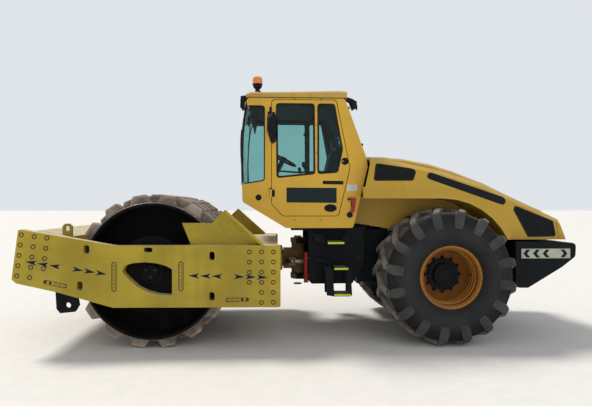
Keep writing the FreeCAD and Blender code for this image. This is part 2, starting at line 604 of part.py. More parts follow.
# Rear axle under the rails.
keep(fuse([
    block(f"{WHEEL_X} - 130", f"{WHEEL_X} + 130", f"-{RAIL_OUT} + 40", f"{RAIL_OUT} - 40", f"{WHEEL_Z} - 110",
          RAIL_LOW),
    rod("X", f"{WHEEL_X} - 230", 0, WHEEL_Z, 190, 460),
    rod("Y", WHEEL_X, f"-{TYRE_Y}", WHEEL_Z, "axle_r", f"2 * {TYRE_Y}"),
]), "rear_axle")

# Tyres: a carcass of flat facets with slanted lugs on both halves of the tread.
SEGMENTS = 48
tyre_half = size("tyre_w") / 2
crown = size("tyre_r - lug_high")
bead = size("rim_r - 27")
half_profile = [
    (bead, tyre_half - 45), (bead + 80, tyre_half - 14), (bead + 210, tyre_half), (crown - 110, tyre_half - 6),
    (crown - 35, tyre_half - 32), (crown - 8, tyre_half - 90),
]
profile = half_profile + [(r, -y) for r, y in reversed(half_profile)]
grow = 1 / math.cos(math.pi / SEGMENTS)


def round_point(r, degrees, y):
    return V(r * math.sin(math.radians(degrees)), y, r * math.cos(math.radians(degrees)))


tyre = skin([[round_point(r * grow, 360 * (k + 0.5) / SEGMENTS, y) for r, y in profile]
             for k in range(SEGMENTS)], closed=True)
# Stations of a lug: share of the half width, lean, half width in degrees, top and foot below the tip.
STATIONS = [(-0.07, 0, 2.3, 0, 62), (0.35, 6.5, 2.4, 0, 64), (0.8, 12, 2.6, 7, 85), (0.97, 13.5, 2.6, 40, 150)]
tip = size("tyre_r")
lugs = []
for number in range(LUGS):
    for side in (1, -1):
        start = 360 / LUGS * (number + (0 if side > 0 else 0.5))
        sections = []
        for share, lean, wide, top, foot in STATIONS:
            y = side * share * tyre_half
            sections.append([
                round_point(tip - foot, start + lean - wide, y), round_point(tip - foot, start + lean + wide, y),
                round_point(tip - top, start + lean + wide, y), round_point(tip - top, start + lean - wide, y)])
        lugs.append(skin(sections))
tyre = tyre.multiFuse(lugs)
tyre.translate(point(WHEEL_X, TYRE_Y, WHEEL_Z))
both_sides(solid("Tyre", tyre), "tyre")

rim_out, rim_in = f"{TYRE_Y} + tyre_w / 2 - 34.2", f"{TYRE_Y} - tyre_w / 2 + 34.2"
rim = ring_about_y([
    ("rim_r - 27", f"{rim_in} + 10.5"), ("rim_r", rim_in), ("rim_r - 12", f"{rim_in} - 8"),
    ("rim_r - 27 - rim_t", f"{rim_in} + 10"), ("rim_r - 27 - rim_t", f"{TYRE_Y} - 5"), ("hub_r", f"{TYRE_Y} - 5"),
    ("hub_r", f"{TYRE_Y} + rim_t"), ("rim_r - 60 - rim_t", f"{TYRE_Y} + rim_t"),
    ("rim_r - 27 - rim_t", f"{TYRE_Y} + rim_t + 40"), ("rim_r - 27 - rim_t", f"{rim_out} - 10"),
    ("rim_r - 12", f"{rim_out} + 8"), ("rim_r", rim_out), ("rim_r - 27", f"{rim_out} - 10.5"),
], WHEEL_X, WHEEL_Z)
both_sides(solid("Rim", rim), "rim")
hub = cut(fuse([rod("Y", WHEEL_X, f"{TYRE_Y} - 120", WHEEL_Z, "hub_r", 180),
                rod("Y", WHEEL_X, f"{TYRE_Y} + 60", WHEEL_Z, "hub_r - 60", 45)]),
          [rod("Y", WHEEL_X, f"{TYRE_Y} - 130", WHEEL_Z, "axle_r + fit", 135)])
both_sides(hub, "hub")

# Steps: three treads on bracket arms, the lowest one on two hanging legs.
STEP_X = "(pivot_x - 425)"
STEP_OUT = "(panel_half + 310)"
BRACKETS = [
    [(254, 631), (132, 607), (112, 560), (-84, 543), (-84, 513), (112, 513), (132, 503), (254, 540)],
    [(230, 340), (71, 303), (35, 235), (-133, 235), (-133, 205), (53, 205), (59, 254), (230, 290)],
]
HANGERS = [
    [(-84, 513), (-84, 543), (-131, 630), (-146, 622), (-112, 513)],
    [(135, 235), (53, 235), (35, -77), (35, -107), (126, -92)],
    [(-133, 235), (-161, 235), (-180, -89), (-161, -107), (-133, -77)],
]
step_bits = []
for outlines, outsides in ((BRACKETS, ["panel_half + 70 + leg_t"]), (HANGERS, ["panel_half + 70 + leg_t", STEP_OUT])):
    for outline in outlines:
        loop = [(f"{STEP_X} + {x}", f"{FRAME_LOW} + {z}") for x, z in outline]
        for outside in outsides:
            step_bits.append(plate_y("step_arm", [loop], outside, "leg_t"))
for back, front, level, start in ((-84, 112, 543, 0), (-133, 35, 235, 0), (-161, 35, -77, 70)):
    step_bits.append(block(f"{STEP_X} + {back}", f"{STEP_X} + {front}", f"panel_half + {start}", STEP_OUT,
                           f"{FRAME_LOW} + {level} - tread_t", f"{FRAME_LOW} + {level}"))
both_sides(fuse(step_bits), "steps")

# Cab frame: two side walls with openings, and the panels between them.
cab_outline = [
    (CAB_X, CAB_TOP), (f"{CAB_X} + 34", f"{CAB_LOW} + 1341"), (f"{CAB_X} + 55", f"{CAB_LOW} + 1130"),
    (f"{CAB_X} + 64", f"{CAB_LOW} + 875"), (f"{CAB_X} + 58", f"{CAB_LOW} + 521"),
    (f"{CAB_X} + 52", f"{CAB_LOW} + 318"),
    (f"{CAB_X} - 471", CAB_LOW), (f"{CAB_X} - 1293", CAB_LOW), (f"{CAB_X} - 1473", f"{CAB_LOW} + 756"),
    (f"{CAB_X} - 1452", f"{CAB_LOW} + 866"), (f"{CAB_X} - 1192", CAB_TOP),
]
door_hole = [
    (f"{CAB_X} - 295", f"{CAB_TOP} - 16"), (f"{CAB_X} - 1089", f"{CAB_TOP} - 16"),
    (f"{CAB_X} - 1259", f"{CAB_LOW} + 728"), (f"{CAB_X} - 1116", f"{CAB_LOW} + 142"),
    (f"{CAB_X} - 431", f"{CAB_LOW} + 142"), (f"{CAB_X} - 295", f"{CAB_LOW} + 292"),
]
quarter_hole = [
    (f"{CAB_X} - 22", f"{CAB_TOP} - 97"), (f"{CAB_X} - 215", f"{CAB_TOP} - 97"),
    (f"{CAB_X} - 215", f"{CAB_LOW} + 576"), (f"{CAB_X} + 18", f"{CAB_LOW} + 530"),
    (f"{CAB_X} + 24", f"{CAB_LOW} + 875"), (f"{CAB_X} + 14", f"{CAB_LOW} + 1130"),
]
HINGE_X = f"({CAB_X} - 289)"
HINGE_Y = "(cab_half + hinge_out)"
HINGES = (f"({CAB_LOW} + 420)", f"({CAB_TOP} - 400)")
LEAF_Y = "(cab_half + hinge_out - 5)"
wall_bits = [plate_y("cab_wall", [cab_outline, door_hole, quarter_hole], "cab_half", "cab_t", "cab_round")]
for level in HINGES:
    wall_bits.append(rod("Z", HINGE_X, HINGE_Y, f"{level} - 50", "hinge_r", 50))
    wall_bits.append(rod("Z", HINGE_X, HINGE_Y, level, "hinge_pin_r", 50))
    wall_bits.append(block(HINGE_X, f"{HINGE_X} + 50", "cab_half", LEAF_Y, f"{level} - 50", level))
both_sides(fuse(wall_bits), "cab_wall")
keep(solid("Floor", prism_y([
    (f"{CAB_X} - 471", CAB_LOW), (f"{CAB_X} - 1293", CAB_LOW), (f"{CAB_X} - 1310", f"{CAB_LOW} + 60"),
    (f"{CAB_X} - 450", f"{CAB_LOW} + 60")], f"-{CAB_IN}", CAB_IN)), "cab_floor")
keep(solid("Nose", prism_y([
    (f"{CAB_X} + 58", f"{CAB_LOW} + 521"), (f"{CAB_X} + 52", f"{CAB_LOW} + 318"),
    (f"{CAB_X} - 450", f"{CAB_LOW} + 14"), (f"{CAB_X} - 450", f"{CAB_LOW} + 60"),
    (f"{CAB_X} + 12", f"{CAB_LOW} + 340"), (f"{CAB_X} + 18", f"{CAB_LOW} + 521")],
    f"-{CAB_IN}", CAB_IN)), "cab_nose")
keep(solid("Back", prism_y([
    (f"{CAB_X} - 1310", f"{CAB_LOW} + 60"), (f"{CAB_X} - 1473", f"{CAB_LOW} + 756"),
    (f"{CAB_X} - 1452", f"{CAB_LOW} + 866"), (f"{CAB_X} - 1412", f"{CAB_LOW} + 866"),
    (f"{CAB_X} - 1433", f"{CAB_LOW} + 756"), (f"{CAB_X} - 1270", f"{CAB_LOW} + 60")],
    f"-{CAB_IN}", CAB_IN)), "cab_back")
ROOF_BACK = f"({CAB_X} - 1222)"
roof_line = [
    (f"{CAB_X} + 10", "roof_t - 16"), (f"{CAB_X} - 40", "roof_t"), (f"{CAB_X} - 260", "roof_t"),
    (f"{ROOF_BACK} + 80", "roof_t + 22"), (ROOF_BACK, "roof_t + 12"),
]
roof_rings = []
for y, tuck in (("-cab_half - 10", 18), ("-cab_half + 25", 0), ("cab_half - 25", 0), ("cab_half + 10", 18)):
    ring = [point(x, y, f"{CAB_TOP} + {z} - {1.4 * tuck}") for x, z in roof_line]
    ring += [point(ROOF_BACK, y, CAB_TOP), point(f"{CAB_X} + 10", y, CAB_TOP)]
    for corner in (ring[0], ring[-1]):
        corner.x -= 1.5 * tuck
    for corner in ring[-3:-1]:
        corner.x += tuck
    roof_rings.append(ring)
keep(solid("Roof", skin(roof_rings)), "cab_roof")


def screen(line, crown):
    """A pane between the cab walls through X-Z points, crowned towards the outside."""
    half, thick = size(CAB_IN), size("glass_t")
    sections = []
    for step in range(9):
        share = step / 4 - 1
        outside = []
        for k, (x, z) in enumerate(line):
            bulge = size(crown) * (1 - share * share) * math.sin(math.pi * k / (len(line) - 1))
            outside.append(V(size(x) + bulge, half * share, size(z)))
        inside = [V(p.x - thick, p.y, p.z) for p in reversed(outside)]
        sections.append(outside + inside)
    return skin(sections)


front_line = [cab_outline[4], cab_outline[3], cab_outline[2], cab_outline[1], cab_outline[0]]
rear_line = [
    (f"{CAB_X} - 1452 + 260 * {k} / 4 + glass_t", f"{CAB_LOW} + 866 + (cab_high - 866) * {k} / 4")
    for k in range(5)
]
keep(fuse([
    solid("Screen", screen(front_line, "screen_out")),
    solid("RearScreen", screen(rear_line, "-rear_out")),
    plate_y("quarter", [quarter_hole], "cab_half - 15", "glass_t", "cab_round"),
    plate_y("quarter", [quarter_hole], "-cab_half + 15 + glass_t", "glass_t", "cab_round"),
]), "cab_glass")

# Doors, hinged at their front edges, with two panes each.
front_pane = [
    (f"{CAB_X} - 358", f"{CAB_TOP} - 70"), (f"{CAB_X} - 817", f"{CAB_TOP} - 70"),
    (f"{CAB_X} - 823", f"{CAB_LOW} + 659"), (f"{CAB_X} - 364", f"{CAB_LOW} + 611"),
]
rear_pane = [
    (f"{CAB_X} - 861", f"{CAB_TOP} - 70"), (f"{CAB_X} - 1062", f"{CAB_TOP} - 70"),
    (f"{CAB_X} - 1162", f"{CAB_LOW} + 958"), (f"{CAB_X} - 1102", f"{CAB_LOW} + 679"),
    (f"{CAB_X} - 861", f"{CAB_LOW} + 659"),
]
door_outline = [
    (f"{CAB_X} - 295 - door_gap", f"{CAB_TOP} - 16 - door_gap"),
    (f"{CAB_X} - 1089 + door_gap", f"{CAB_TOP} - 16 - door_gap"),
    (f"{CAB_X} - 1259 + 1.2 * door_gap", f"{CAB_LOW} + 728"),
    (f"{CAB_X} - 1116 + door_gap", f"{CAB_LOW} + 142 + door_gap"),
    (f"{CAB_X} - 431 - 0.4 * door_gap", f"{CAB_LOW} + 142 + door_gap"),
    (f"{CAB_X} - 295 - door_gap", f"{CAB_LOW} + 292 + 0.4 * door_gap"),
]
door_bits = [plate_y("door", [door_outline, front_pane, rear_pane], "cab_half", "cab_t", "cab_round")]
for level in HINGES:
    door_bits.append(rod("Z", HINGE_X, HINGE_Y, f"{level} + 0.3", "hinge_r", 48))
    door_bits.append(block(f"{HINGE_X} - 34", HINGE_X, "cab_half", LEAF_Y, f"{level} + 0.3", f"{level} + 48.3"))
door_holes = [rod("Z", HINGE_X, HINGE_Y, f"{level} - 5", "hinge_pin_r + fit", 80) for level in HINGES]
both_sides(cut(fuse(door_bits), door_holes), "door")
panes = [plate_y("pane", [loop], "cab_half - 15", "glass_t", "cab_round") for loop in (front_pane, rear_pane)]
both_sides(fuse(panes), "door_glass")

# Roof lamps, beacon and mirrors.
ROOF = f"({CAB_TOP} + roof_t)"
front_lamp = [(10, 42), (78, 30), (83, -40), (66, -128), (36, -118), (28, -20), (10, 2)]
rear_lamp = [(0, 34), (-70, 12), (-129, -22), (-117, -98), (-82, -116), (-45, -20), (0, 6)]
lamps = []
for start, outline in ((CAB_X, front_lamp), (ROOF_BACK, rear_lamp)):
    loop = [(f"{start} + {x}", f"{CAB_TOP} + {z}") for x, z in outline]
    for high in ("cab_half - 60", "-cab_half + 190"):
        lamps.append(plate_y("lamp", [loop], high, 130))
keep(fuse(lamps), "work_lamps")

BEACON = [
    (0, 0), (45, 0), (45, 12), (27, 18), (27, 66), (50, 82), (54, 112), (61, 114), (61, 178), (54, 201),
    (34, 214), (0, 214),
]
spots = [V(r, 0, z) for r, z in BEACON]
beacon = Part.Face(Part.makePolygon(spots + spots[:1])).revolve(V(0, 0, 0), ALONG_Z, 360)
beacon.translate(point(f"{CAB_X} - 125", "cab_half - 160", ROOF))
keep(solid("Beacon", beacon), "beacon")

mirror_outline = [(43, -286), (-51, -219), (-77, -441), (-57, -585), (-2, -599), (46, -442)]
mirror_loop = rounded([(f"{HINGE_X} + {x}", f"{CAB_TOP} + {z}") for x, z in mirror_outline], 35, 3)
centre = V(sum(x for x, z in mirror_loop), 0, sum(z for x, z in mirror_loop)) * (1 / len(mirror_loop))
shells = []
for share, scale in ((0, 0.72), (0.14, 0.97), (0.5, 1), (0.86, 0.97), (1, 0.72)):
    y = size("mirror_y") + share * size("mirror_w")
    shells.append([V(centre.x + (x - centre.x) * scale, y, centre.z + (z - centre.z) * scale)
                   for x, z in mirror_loop])
both_sides(fuse([
    solid("MirrorShell", skin(shells)),
    block(f"{HINGE_X} - 6", f"{HINGE_X} + 16", "cab_half", "mirror_y + mirror_w / 2 + 11", f"{CAB_TOP} - 200",
          f"{CAB_TOP} - 178"),
    block(f"{HINGE_X} - 6", f"{HINGE_X} + 16", "mirror_y + mirror_w / 2 - 11", "mirror_y + mirror_w / 2 + 11",
          f"{CAB_TOP} - 420", f"{CAB_TOP} - 178"),
]), "mirror")

# Seat and steering console.
FLOOR = f"({CAB_LOW} + 60)"
back_rest = [(-1001, 460), (-1121, 1145), (-1237, 1145), (-1141, 340), (-1001, 340)]
keep(fuse([
    block(f"{CAB_X} - 1141", f"{CAB_X} - 651", "-seat_half", "seat_half", f"{FLOOR} + 340", f"{FLOOR} + 460"),
    plate_y("back_rest", [[(f"{CAB_X} + {x}", f"{FLOOR} + {z}") for x, z in back_rest]], "seat_half",
            "2 * seat_half"),
    block(f"{CAB_X} - 1101", f"{CAB_X} - 751", "-seat_half + 80", "seat_half - 80", FLOOR, f"{FLOOR} + 340"),
]), "seat")
pedestal = skin([
    [point(f"{CAB_X} - {back}", f"-{half}", f"{FLOOR} + {up}"), point(f"{CAB_X} - {front}", f"-{half}", f"{FLOOR} + {up}"),
     point(f"{CAB_X} - {front}", half, f"{FLOOR} + {up}"), point(f"{CAB_X} - {back}", half, f"{FLOOR} + {up}")]
    for back, front, half, up in ((611, 456, 110, 0), (431, 291, 80, 560), (411, 281, 70, 615))
])
RING = 24
rim_points = []
for k in range(RING):
    turn = 2 * math.pi * k / RING
    reach = V(math.cos(turn), math.sin(turn), 0)
    rim_points.append([reach * (size("wheel_r") + 15 * math.cos(a * math.pi / 4)) + ALONG_Z * (15 * math.sin(a * math.pi / 4))
                       for a in range(8)])
wheel = skin(rim_points, closed=True).fuse([
    Part.makeCylinder(32, 270, V(0, 0, -262)), Part.makeCylinder(45, 24, V(0, 0, -12)),
    Part.makeBox(44, 2 * size("wheel_r"), 10, V(-22, -size("wheel_r"), -5)),
])
wheel.rotate(V(0, 0, 0), ALONG_Y, -26.6)
wheel.translate(point(f"{CAB_X} - 456", 0, f"{FLOOR} + 835"))
keep(solid("Console", pedestal.fuse(wheel)), "steering_console")


# Hood: one shell over the engine with wheel arches cut out of its sides.
side_top = [
    (HOOD_X, f"{HOOD_LOW} + 986"), (f"{HOOD_X} - 151", f"{HOOD_LOW} + 986"), (f"{HOOD_X} - 509", f"{HOOD_LOW} + 910"),
    (f"{HOOD_X} - 875", f"{HOOD_LOW} + 833"), (f"{HOOD_END} + 1016", f"{HOOD_LOW} + 672"),
    (f"{HOOD_END} + 633", f"{HOOD_LOW} + 504"), (f"{HOOD_END} + 73", f"{HOOD_LOW} + 243"),
]
ridge_top = [
    (HOOD_X, f"{HOOD_LOW} + 1042"), (f"{HOOD_X} - 265", f"{HOOD_LOW} + 1042"),
    (f"{HOOD_X} - 539", f"{HOOD_LOW} + 1016"), (f"{HOOD_X} - 878", f"{HOOD_LOW} + 953"),
    (f"{HOOD_X} - 1176", f"{HOOD_LOW} + 864"), (f"{HOOD_END} + 791", f"{HOOD_LOW} + 702"),
    (f"{HOOD_END} + 468", f"{HOOD_LOW} + 545"), (f"{HOOD_END} + 143", f"{HOOD_LOW} + 397"),
    (f"{HOOD_END} + 12", f"{HOOD_LOW} + 344"),
]


# The hood's lower edge ahead of the tyres and its front edge, which follows the back of the cab.
hood_foot = [
    (f"{HOOD_X} - 450", HOOD_LOW), (f"{HOOD_X} - 343", f"{HOOD_LOW} + 110"), (f"{HOOD_X} - 20", f"{HOOD_LOW} + 168"),
    (f"{HOOD_X} + 155", f"{HOOD_LOW} + 190"), (f"{HOOD_X} + 95", f"{HOOD_LOW} + 495"),
]


def hood_form(top, half, bevel, drop, inset):
    """The hood's outer form under a top line, or the open space inside it one wall in."""
    open_end = 60 if inset else 0
    half = size(half) - inset
    sections = []
    for y, lower in ((-half, drop), (bevel - half, 0), (half - bevel, 0), (half, drop)):
        ring = [V(size(x), y, size(z) - lower - inset) for x, z in top]
        ring[0].x += open_end
        ring[-1].x += inset
        ring.append(V(size(HOOD_END) + inset, y, size(HOOD_LOW) - open_end))
        ring += [point(x, y, f"{z} - {open_end}") for x, z in hood_foot]
        for corner in ring[-2:]:
            corner.x += open_end
        sections.append(ring)
    return skin(sections)


ARCH_X, ARCH_Z = f"({WHEEL_X} + 30)", f"({WHEEL_Z} + 42)"
arch_end = math.degrees(math.acos((size(HOOD_LOW) - size(ARCH_Z)) / size("tyre_r + arch_gap")))


def arch_line(extra):
    """X-Z points along the arch edge, from the hood's front over the tyre, moved outwards."""
    radius = size("tyre_r + arch_gap") + extra
    points = [(size(HOOD_X) + 95, size(ARCH_Z) + radius)]
    for step in range(7):
        turn = math.radians(arch_end * step / 6)
        points.append((size(ARCH_X) - radius * math.sin(turn), size(ARCH_Z) + radius * math.cos(turn)))
    return points


def arch_space(extra, y0, y1):
    line = arch_line(extra)
    low = size(HOOD_LOW) - 80
    corners = [(line[0][0] + 155, line[0][1])] + line[1:] + [(line[-1][0], low), (line[0][0] + 155, low)]
    face = Part.Face(Part.makePolygon([V(x, y0, z) for x, z in corners + corners[:1]]))
    return face.extrude(V(0, y1 - y0, 0))


hood_t = size("hood_t")
arch_in = size(f"{TYRE_IN} - 10")
arch_out = size("hood_half + flare_out") + 20
outer = hood_form(side_top, "hood_half", 60, 55, 0).fuse(hood_form(ridge_top, "ridge_half", 45, 30, 0))
inner = hood_form(side_top, "hood_half", 60, 55, hood_t).fuse(hood_form(ridge_top, "ridge_half", 45, 30, hood_t))
hood_half = size("hood_half")
edge, crease = arch_line(0), arch_line(140)
for side in (1, -1):
    flare = [[V(crease[i][0], side * (hood_half - 12), crease[i][1]), V(edge[i][0], side * (hood_half - 12), edge[i][1]),
              V(edge[i][0], side * (hood_half + size("flare_out")), edge[i][1])] for i in range(len(edge))]
    outer = outer.fuse(skin(flare))
    low, high = sorted((side * arch_in, side * arch_out))
    outer = outer.cut(arch_space(0, low, high))
    low, high = sorted((side * (arch_in - hood_t), side * arch_out))
    inner = inner.cut(arch_space(hood_t, low, high))
hood = outer.cut(inner)
hood = hood.cut(Part.makeBox(3000, 2 * hood_half + 400, 100,
                             V(size(HOOD_END) - 100, -hood_half - 200, size(HOOD_LOW) - 100)))

# Hood hinge: two posts behind the cab with pins that the hood's ears turn on.
LID_X, LID_Z = f"({HOOD_X} - 80)", f"({HOOD_LOW} + 994)"
lid_x, lid_z, ear_y = size(LID_X), size(LID_Z), size("ridge_half - 78")
for low in (ear_y, -ear_y - 40):
    hood = hood.fuse([Part.makeBox(48, 40, 30, V(lid_x - 24, low, lid_z)),
                      Part.makeCylinder(24, 40, V(lid_x, low, lid_z), ALONG_Y)])
    hood = hood.cut(Part.makeCylinder(size("lid_pin_r + fit"), 60, V(lid_x, low - 10, lid_z), ALONG_Y))
post_bits = [block(f"{LID_X} - 30", f"{LID_X} + 14", "-ridge_half + 80", "ridge_half - 80", f"{LID_Z} - 115",
                   f"{LID_Z} - 75")]
for low, high in (("ridge_half - 120", "ridge_half - 80"), ("-ridge_half + 80", "-ridge_half + 120")):
    post_bits.append(block(f"{LID_X} - 30", f"{LID_X} + 14", low, high, RAIL_TOP, f"{LID_Z} + 14"))
for start in ("ridge_half - 120", "-ridge_half + 34"):
    post_bits.append(rod("Y", LID_X, start, LID_Z, "lid_pin_r", 86))
keep(fuse(post_bits), "hood_hinge")

# Side grilles: panels that fill the two cut-outs in each side of the hood.
front_vent = rounded([
    (f"{HOOD_X} - 62", f"{HOOD_LOW} + 915"), (f"{HOOD_X} - 509", f"{HOOD_LOW} + 850"),
    (f"{HOOD_X} - 545", f"{HOOD_LOW} + 820"), (f"{HOOD_X} - 512", f"{HOOD_LOW} + 713"),
    (f"{HOOD_X} - 38", f"{HOOD_LOW} + 710"),
], 30)
rear_vent = rounded([
    (f"{HOOD_END} + 633", f"{HOOD_LOW} + 409"), (f"{HOOD_END} + 163", f"{HOOD_LOW} + 222"),
    (f"{HOOD_END} + 128", f"{HOOD_LOW} + 40"), (f"{HOOD_END} + 472", f"{HOOD_LOW} + 35"),
    (f"{HOOD_END} + 651", f"{HOOD_LOW} + 360"),
], 30)
panels = []
for vent in (front_vent, rear_vent):
    for low, high in (("hood_half - 60", "hood_half + 5"), ("-hood_half - 5", "-hood_half + 60")):
        hood = hood.cut(prism_y(vent, low, high))
    panels.append(prism_y(vent, "hood_half - 18", "hood_half - 4"))
keep(solid("Hood", hood), "hood_shell")
both_sides(solid("Grille", panels[0].fuse(panels[1])), "hood_grille")

doc.recompute()
bad = [obj.Label for obj in doc.Objects if "Invalid" in obj.State or "Error" in obj.State]
for obj in PARTS:
    if obj.Shape.isNull() or not obj.Shape.isValid() or not obj.Shape.Solids:
        bad.append(obj.Label)
if bad:
    raise RuntimeError("failed: " + ", ".join(bad))
os.makedirs("parts", exist_ok=True)
for obj in PARTS:
    obj.Shape.exportStep(f"parts/{obj.Label}.step")
print(len(PARTS), "sub-parts written")
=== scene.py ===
"""Looks of an articulated padfoot compactor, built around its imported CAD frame."""
import math

import bmesh
import bpy
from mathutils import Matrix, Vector


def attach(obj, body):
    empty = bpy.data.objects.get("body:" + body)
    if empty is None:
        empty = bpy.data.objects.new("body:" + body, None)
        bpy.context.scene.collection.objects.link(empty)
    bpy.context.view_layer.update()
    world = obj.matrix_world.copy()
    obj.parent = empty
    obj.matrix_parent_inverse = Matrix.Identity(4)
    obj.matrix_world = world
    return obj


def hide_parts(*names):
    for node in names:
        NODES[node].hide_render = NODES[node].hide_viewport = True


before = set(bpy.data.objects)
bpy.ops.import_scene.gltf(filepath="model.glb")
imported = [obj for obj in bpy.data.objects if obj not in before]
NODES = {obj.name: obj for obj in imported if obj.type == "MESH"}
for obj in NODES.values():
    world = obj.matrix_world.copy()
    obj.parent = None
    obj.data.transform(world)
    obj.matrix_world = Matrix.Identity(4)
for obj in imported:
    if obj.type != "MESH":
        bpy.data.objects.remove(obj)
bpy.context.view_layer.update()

# Places on the frame, in metres, as in the CAD source.
HALF = 1.195
DRUM = Vector((1.75, 0, 0.88))
WHEEL = Vector((-1.66, 0, 0.8))
TYRE_Y, TYRE_HALF, LUGS = 0.8375, 0.3575, 16
CAB_X, CAB_LOW, CAB_TOP, CAB_HALF = 0.701, 1.355, 2.932, 0.76
CAB_FLOOR, LINING_TOP = 1.415, 2.905
SWING_Z = 0.92
HOOD_HALF, HOOD_END = 0.899, -3.174
WEIGHT_HALF, WEIGHT_END = 1.0, -3.2235
SIDES = {"left": 1, "right": -1}
OUT, UP, AHEAD, REAR = (0, 1, 0), (0, 0, 1), (1, 0, 0), (-1, 0, 0)


# Materials

class Tree:
    """A short way to add shader nodes."""

    def __init__(self, name):
        self.material = bpy.data.materials.new(name)
        self.material.use_nodes = True
        self.nodes = self.material.node_tree.nodes
        self.links = self.material.node_tree.links
        self.shader = self.nodes["Principled BSDF"]
        self.coord = self.nodes.new("ShaderNodeTexCoord")

    def link(self, value, socket):
        if isinstance(value, bpy.types.NodeSocket):
            self.links.new(value, socket)
        else:
            socket.default_value = value

    def set(self, **values):
        """Sets the shader's own sockets, with an underscore for each space in a socket's name."""
        for name, value in values.items():
            self.link(value, self.shader.inputs[name.replace("_", " ")])

    def math(self, operation, a, b=0.0, clamp=False):
        node = self.nodes.new("ShaderNodeMath")
        node.operation = operation
        node.use_clamp = clamp
        self.link(a, node.inputs[0])
        self.link(b, node.inputs[1])
        return node.outputs[0]

    def times(self, a, b):
        return self.math("MULTIPLY", a, b)

    def noise(self, scale, detail=4.0, stretch=(1, 1, 1), rough=0.55):
        place_node = self.nodes.new("ShaderNodeMapping")
        place_node.inputs["Scale"].default_value = stretch
        self.link(self.coord.outputs["Object"], place_node.inputs["Vector"])
        node = self.nodes.new("ShaderNodeTexNoise")
        for name, value in (("Scale", scale), ("Detail", detail), ("Roughness", rough)):
            node.inputs[name].default_value = value
        self.link(place_node.outputs[0], node.inputs["Vector"])
        return node.outputs[0]

    def span(self, value, low, high, to_low=0.0, to_high=1.0):
        node = self.nodes.new("ShaderNodeMapRange")
        node.interpolation_type = "SMOOTHSTEP"
        for index, number in enumerate((value, low, high, to_low, to_high)):
            self.link(number, node.inputs[index])
        return node.outputs[0]

    def mix(self, factor, a, b):
        node = self.nodes.new("ShaderNodeMix")
        node.data_type = "RGBA"
        self.link(factor, node.inputs[0])
        for value, socket in ((a, node.inputs[6]), (b, node.inputs[7])):
            self.link((*value, 1.0) if isinstance(value, tuple) else value, socket)
        return node.outputs[2]

    def bump(self, height, strength, distance):
        node = self.nodes.new("ShaderNodeBump")
        node.inputs["Strength"].default_value = strength
        node.inputs["Distance"].default_value = distance
        self.link(height, node.inputs["Height"])
        self.set(Normal=node.outputs[0])

    def axis(self, name, letter):
        node = self.nodes.new("ShaderNodeSeparateXYZ")
        self.link(self.coord.outputs[name], node.inputs[0])
        return node.outputs["XYZ".index(letter)]

    def radius(self, centre):
        """The distance from an axis along Y through a centre."""
        across = self.math("SUBTRACT", self.axis("Object", "X"), centre.x)
        up = self.math("SUBTRACT", self.axis("Object", "Z"), centre.z)
        return self.math("SQRT", self.math("ADD", self.times(across, across), self.times(up, up)))


def tinted(colour, share):
    return tuple(min(1.0, c * share) for c in colour)


DUST = (0.30, 0.235, 0.17)
# Pale dust colour, also used as painted top light.
PALE_DUST_AND_TOP_LIGHT = (0.56, 0.50, 0.39)
RUST = (0.055, 0.030, 0.016)


def surface(name, colour, rough=0.45, metal=0.0, dust=0.05, low_dust=0.0, chips=None, tint=0.12,
            grain=0.15, coat=0.0, streaks=0.25, shine=0.25, top=0.0):
    """A used surface: uneven colour, dust that lies low and on top, rain streaks and small chips, and on
    faces that look up a pale colour that is settled dust and painted top light.
    """
    t = Tree(name)
    tone = t.span(t.noise(1.7, 5), 0.35, 0.65)
    base = t.mix(tone, tinted(colour, 1 - 1.6 * tint), tinted(colour, 1 + tint))
    rain = t.span(t.noise(9, 6, (1, 1, 0.07)), 0.52, 0.72)
    base = t.mix(t.times(rain, streaks), base, tinted(colour, 0.55))
    height = t.span(t.axis("Object", "Z"), 0.15, 1.5, low_dust, 0.0)
    upward = t.span(t.axis("Normal", "Z"), 0.35, 0.95, 0.0, dust)
    patches = t.span(t.noise(4.5, 9, rough=0.7), 0.38, 0.68)
    amount = t.math("ADD", t.times(patches, dust), t.times(height, patches))
    amount = t.math("ADD", amount, upward, clamp=True)
    base = t.mix(amount, base, DUST)
    # Faces that look up are made paler by the top share: settled dust and painted top light.
    dust_and_top_light = t.times(t.span(t.axis("Normal", "Z"), 0.5, 0.97), t.span(t.noise(5, 7, rough=0.65), 0.2, 0.6))
    base = t.mix(t.times(dust_and_top_light, top), base, PALE_DUST_AND_TOP_LIGHT)
    if chips:
        spots = t.times(t.span(t.noise(46, 3), 0.66, 0.7), t.span(t.noise(2.4, 3), 0.5, 0.62))
        base = t.mix(spots, base, chips)
    t.set(Base_Color=base, Roughness=t.math("ADD", t.times(amount, 0.4), rough, clamp=True), Metallic=metal,
          Specular_IOR_Level=shine, Coat_Weight=coat, Coat_Roughness=0.2)
    t.bump(t.noise(130, 3), grain, 0.0015)
    return t.material


def plain(name, colour, rough=0.5, metal=0.0, grain=0.1, scale=220.0, tint=0.1, coat=0.0, shine=0.5):
    """A clean surface with a fine grain and a little uneven colour."""
    t = Tree(name)
    tone = t.span(t.noise(6, 4), 0.35, 0.65)
    t.set(Base_Color=t.mix(tone, tinted(colour, 1 - tint), tinted(colour, 1 + tint)), Metallic=metal,
          Roughness=t.span(t.noise(14, 5), 0.3, 0.7, max(0.0, rough - 0.08), min(1.0, rough + 0.1)),
          Specular_IOR_Level=shine, Coat_Weight=coat)
    t.bump(t.noise(scale, 2), grain, 0.001)
    return t.material


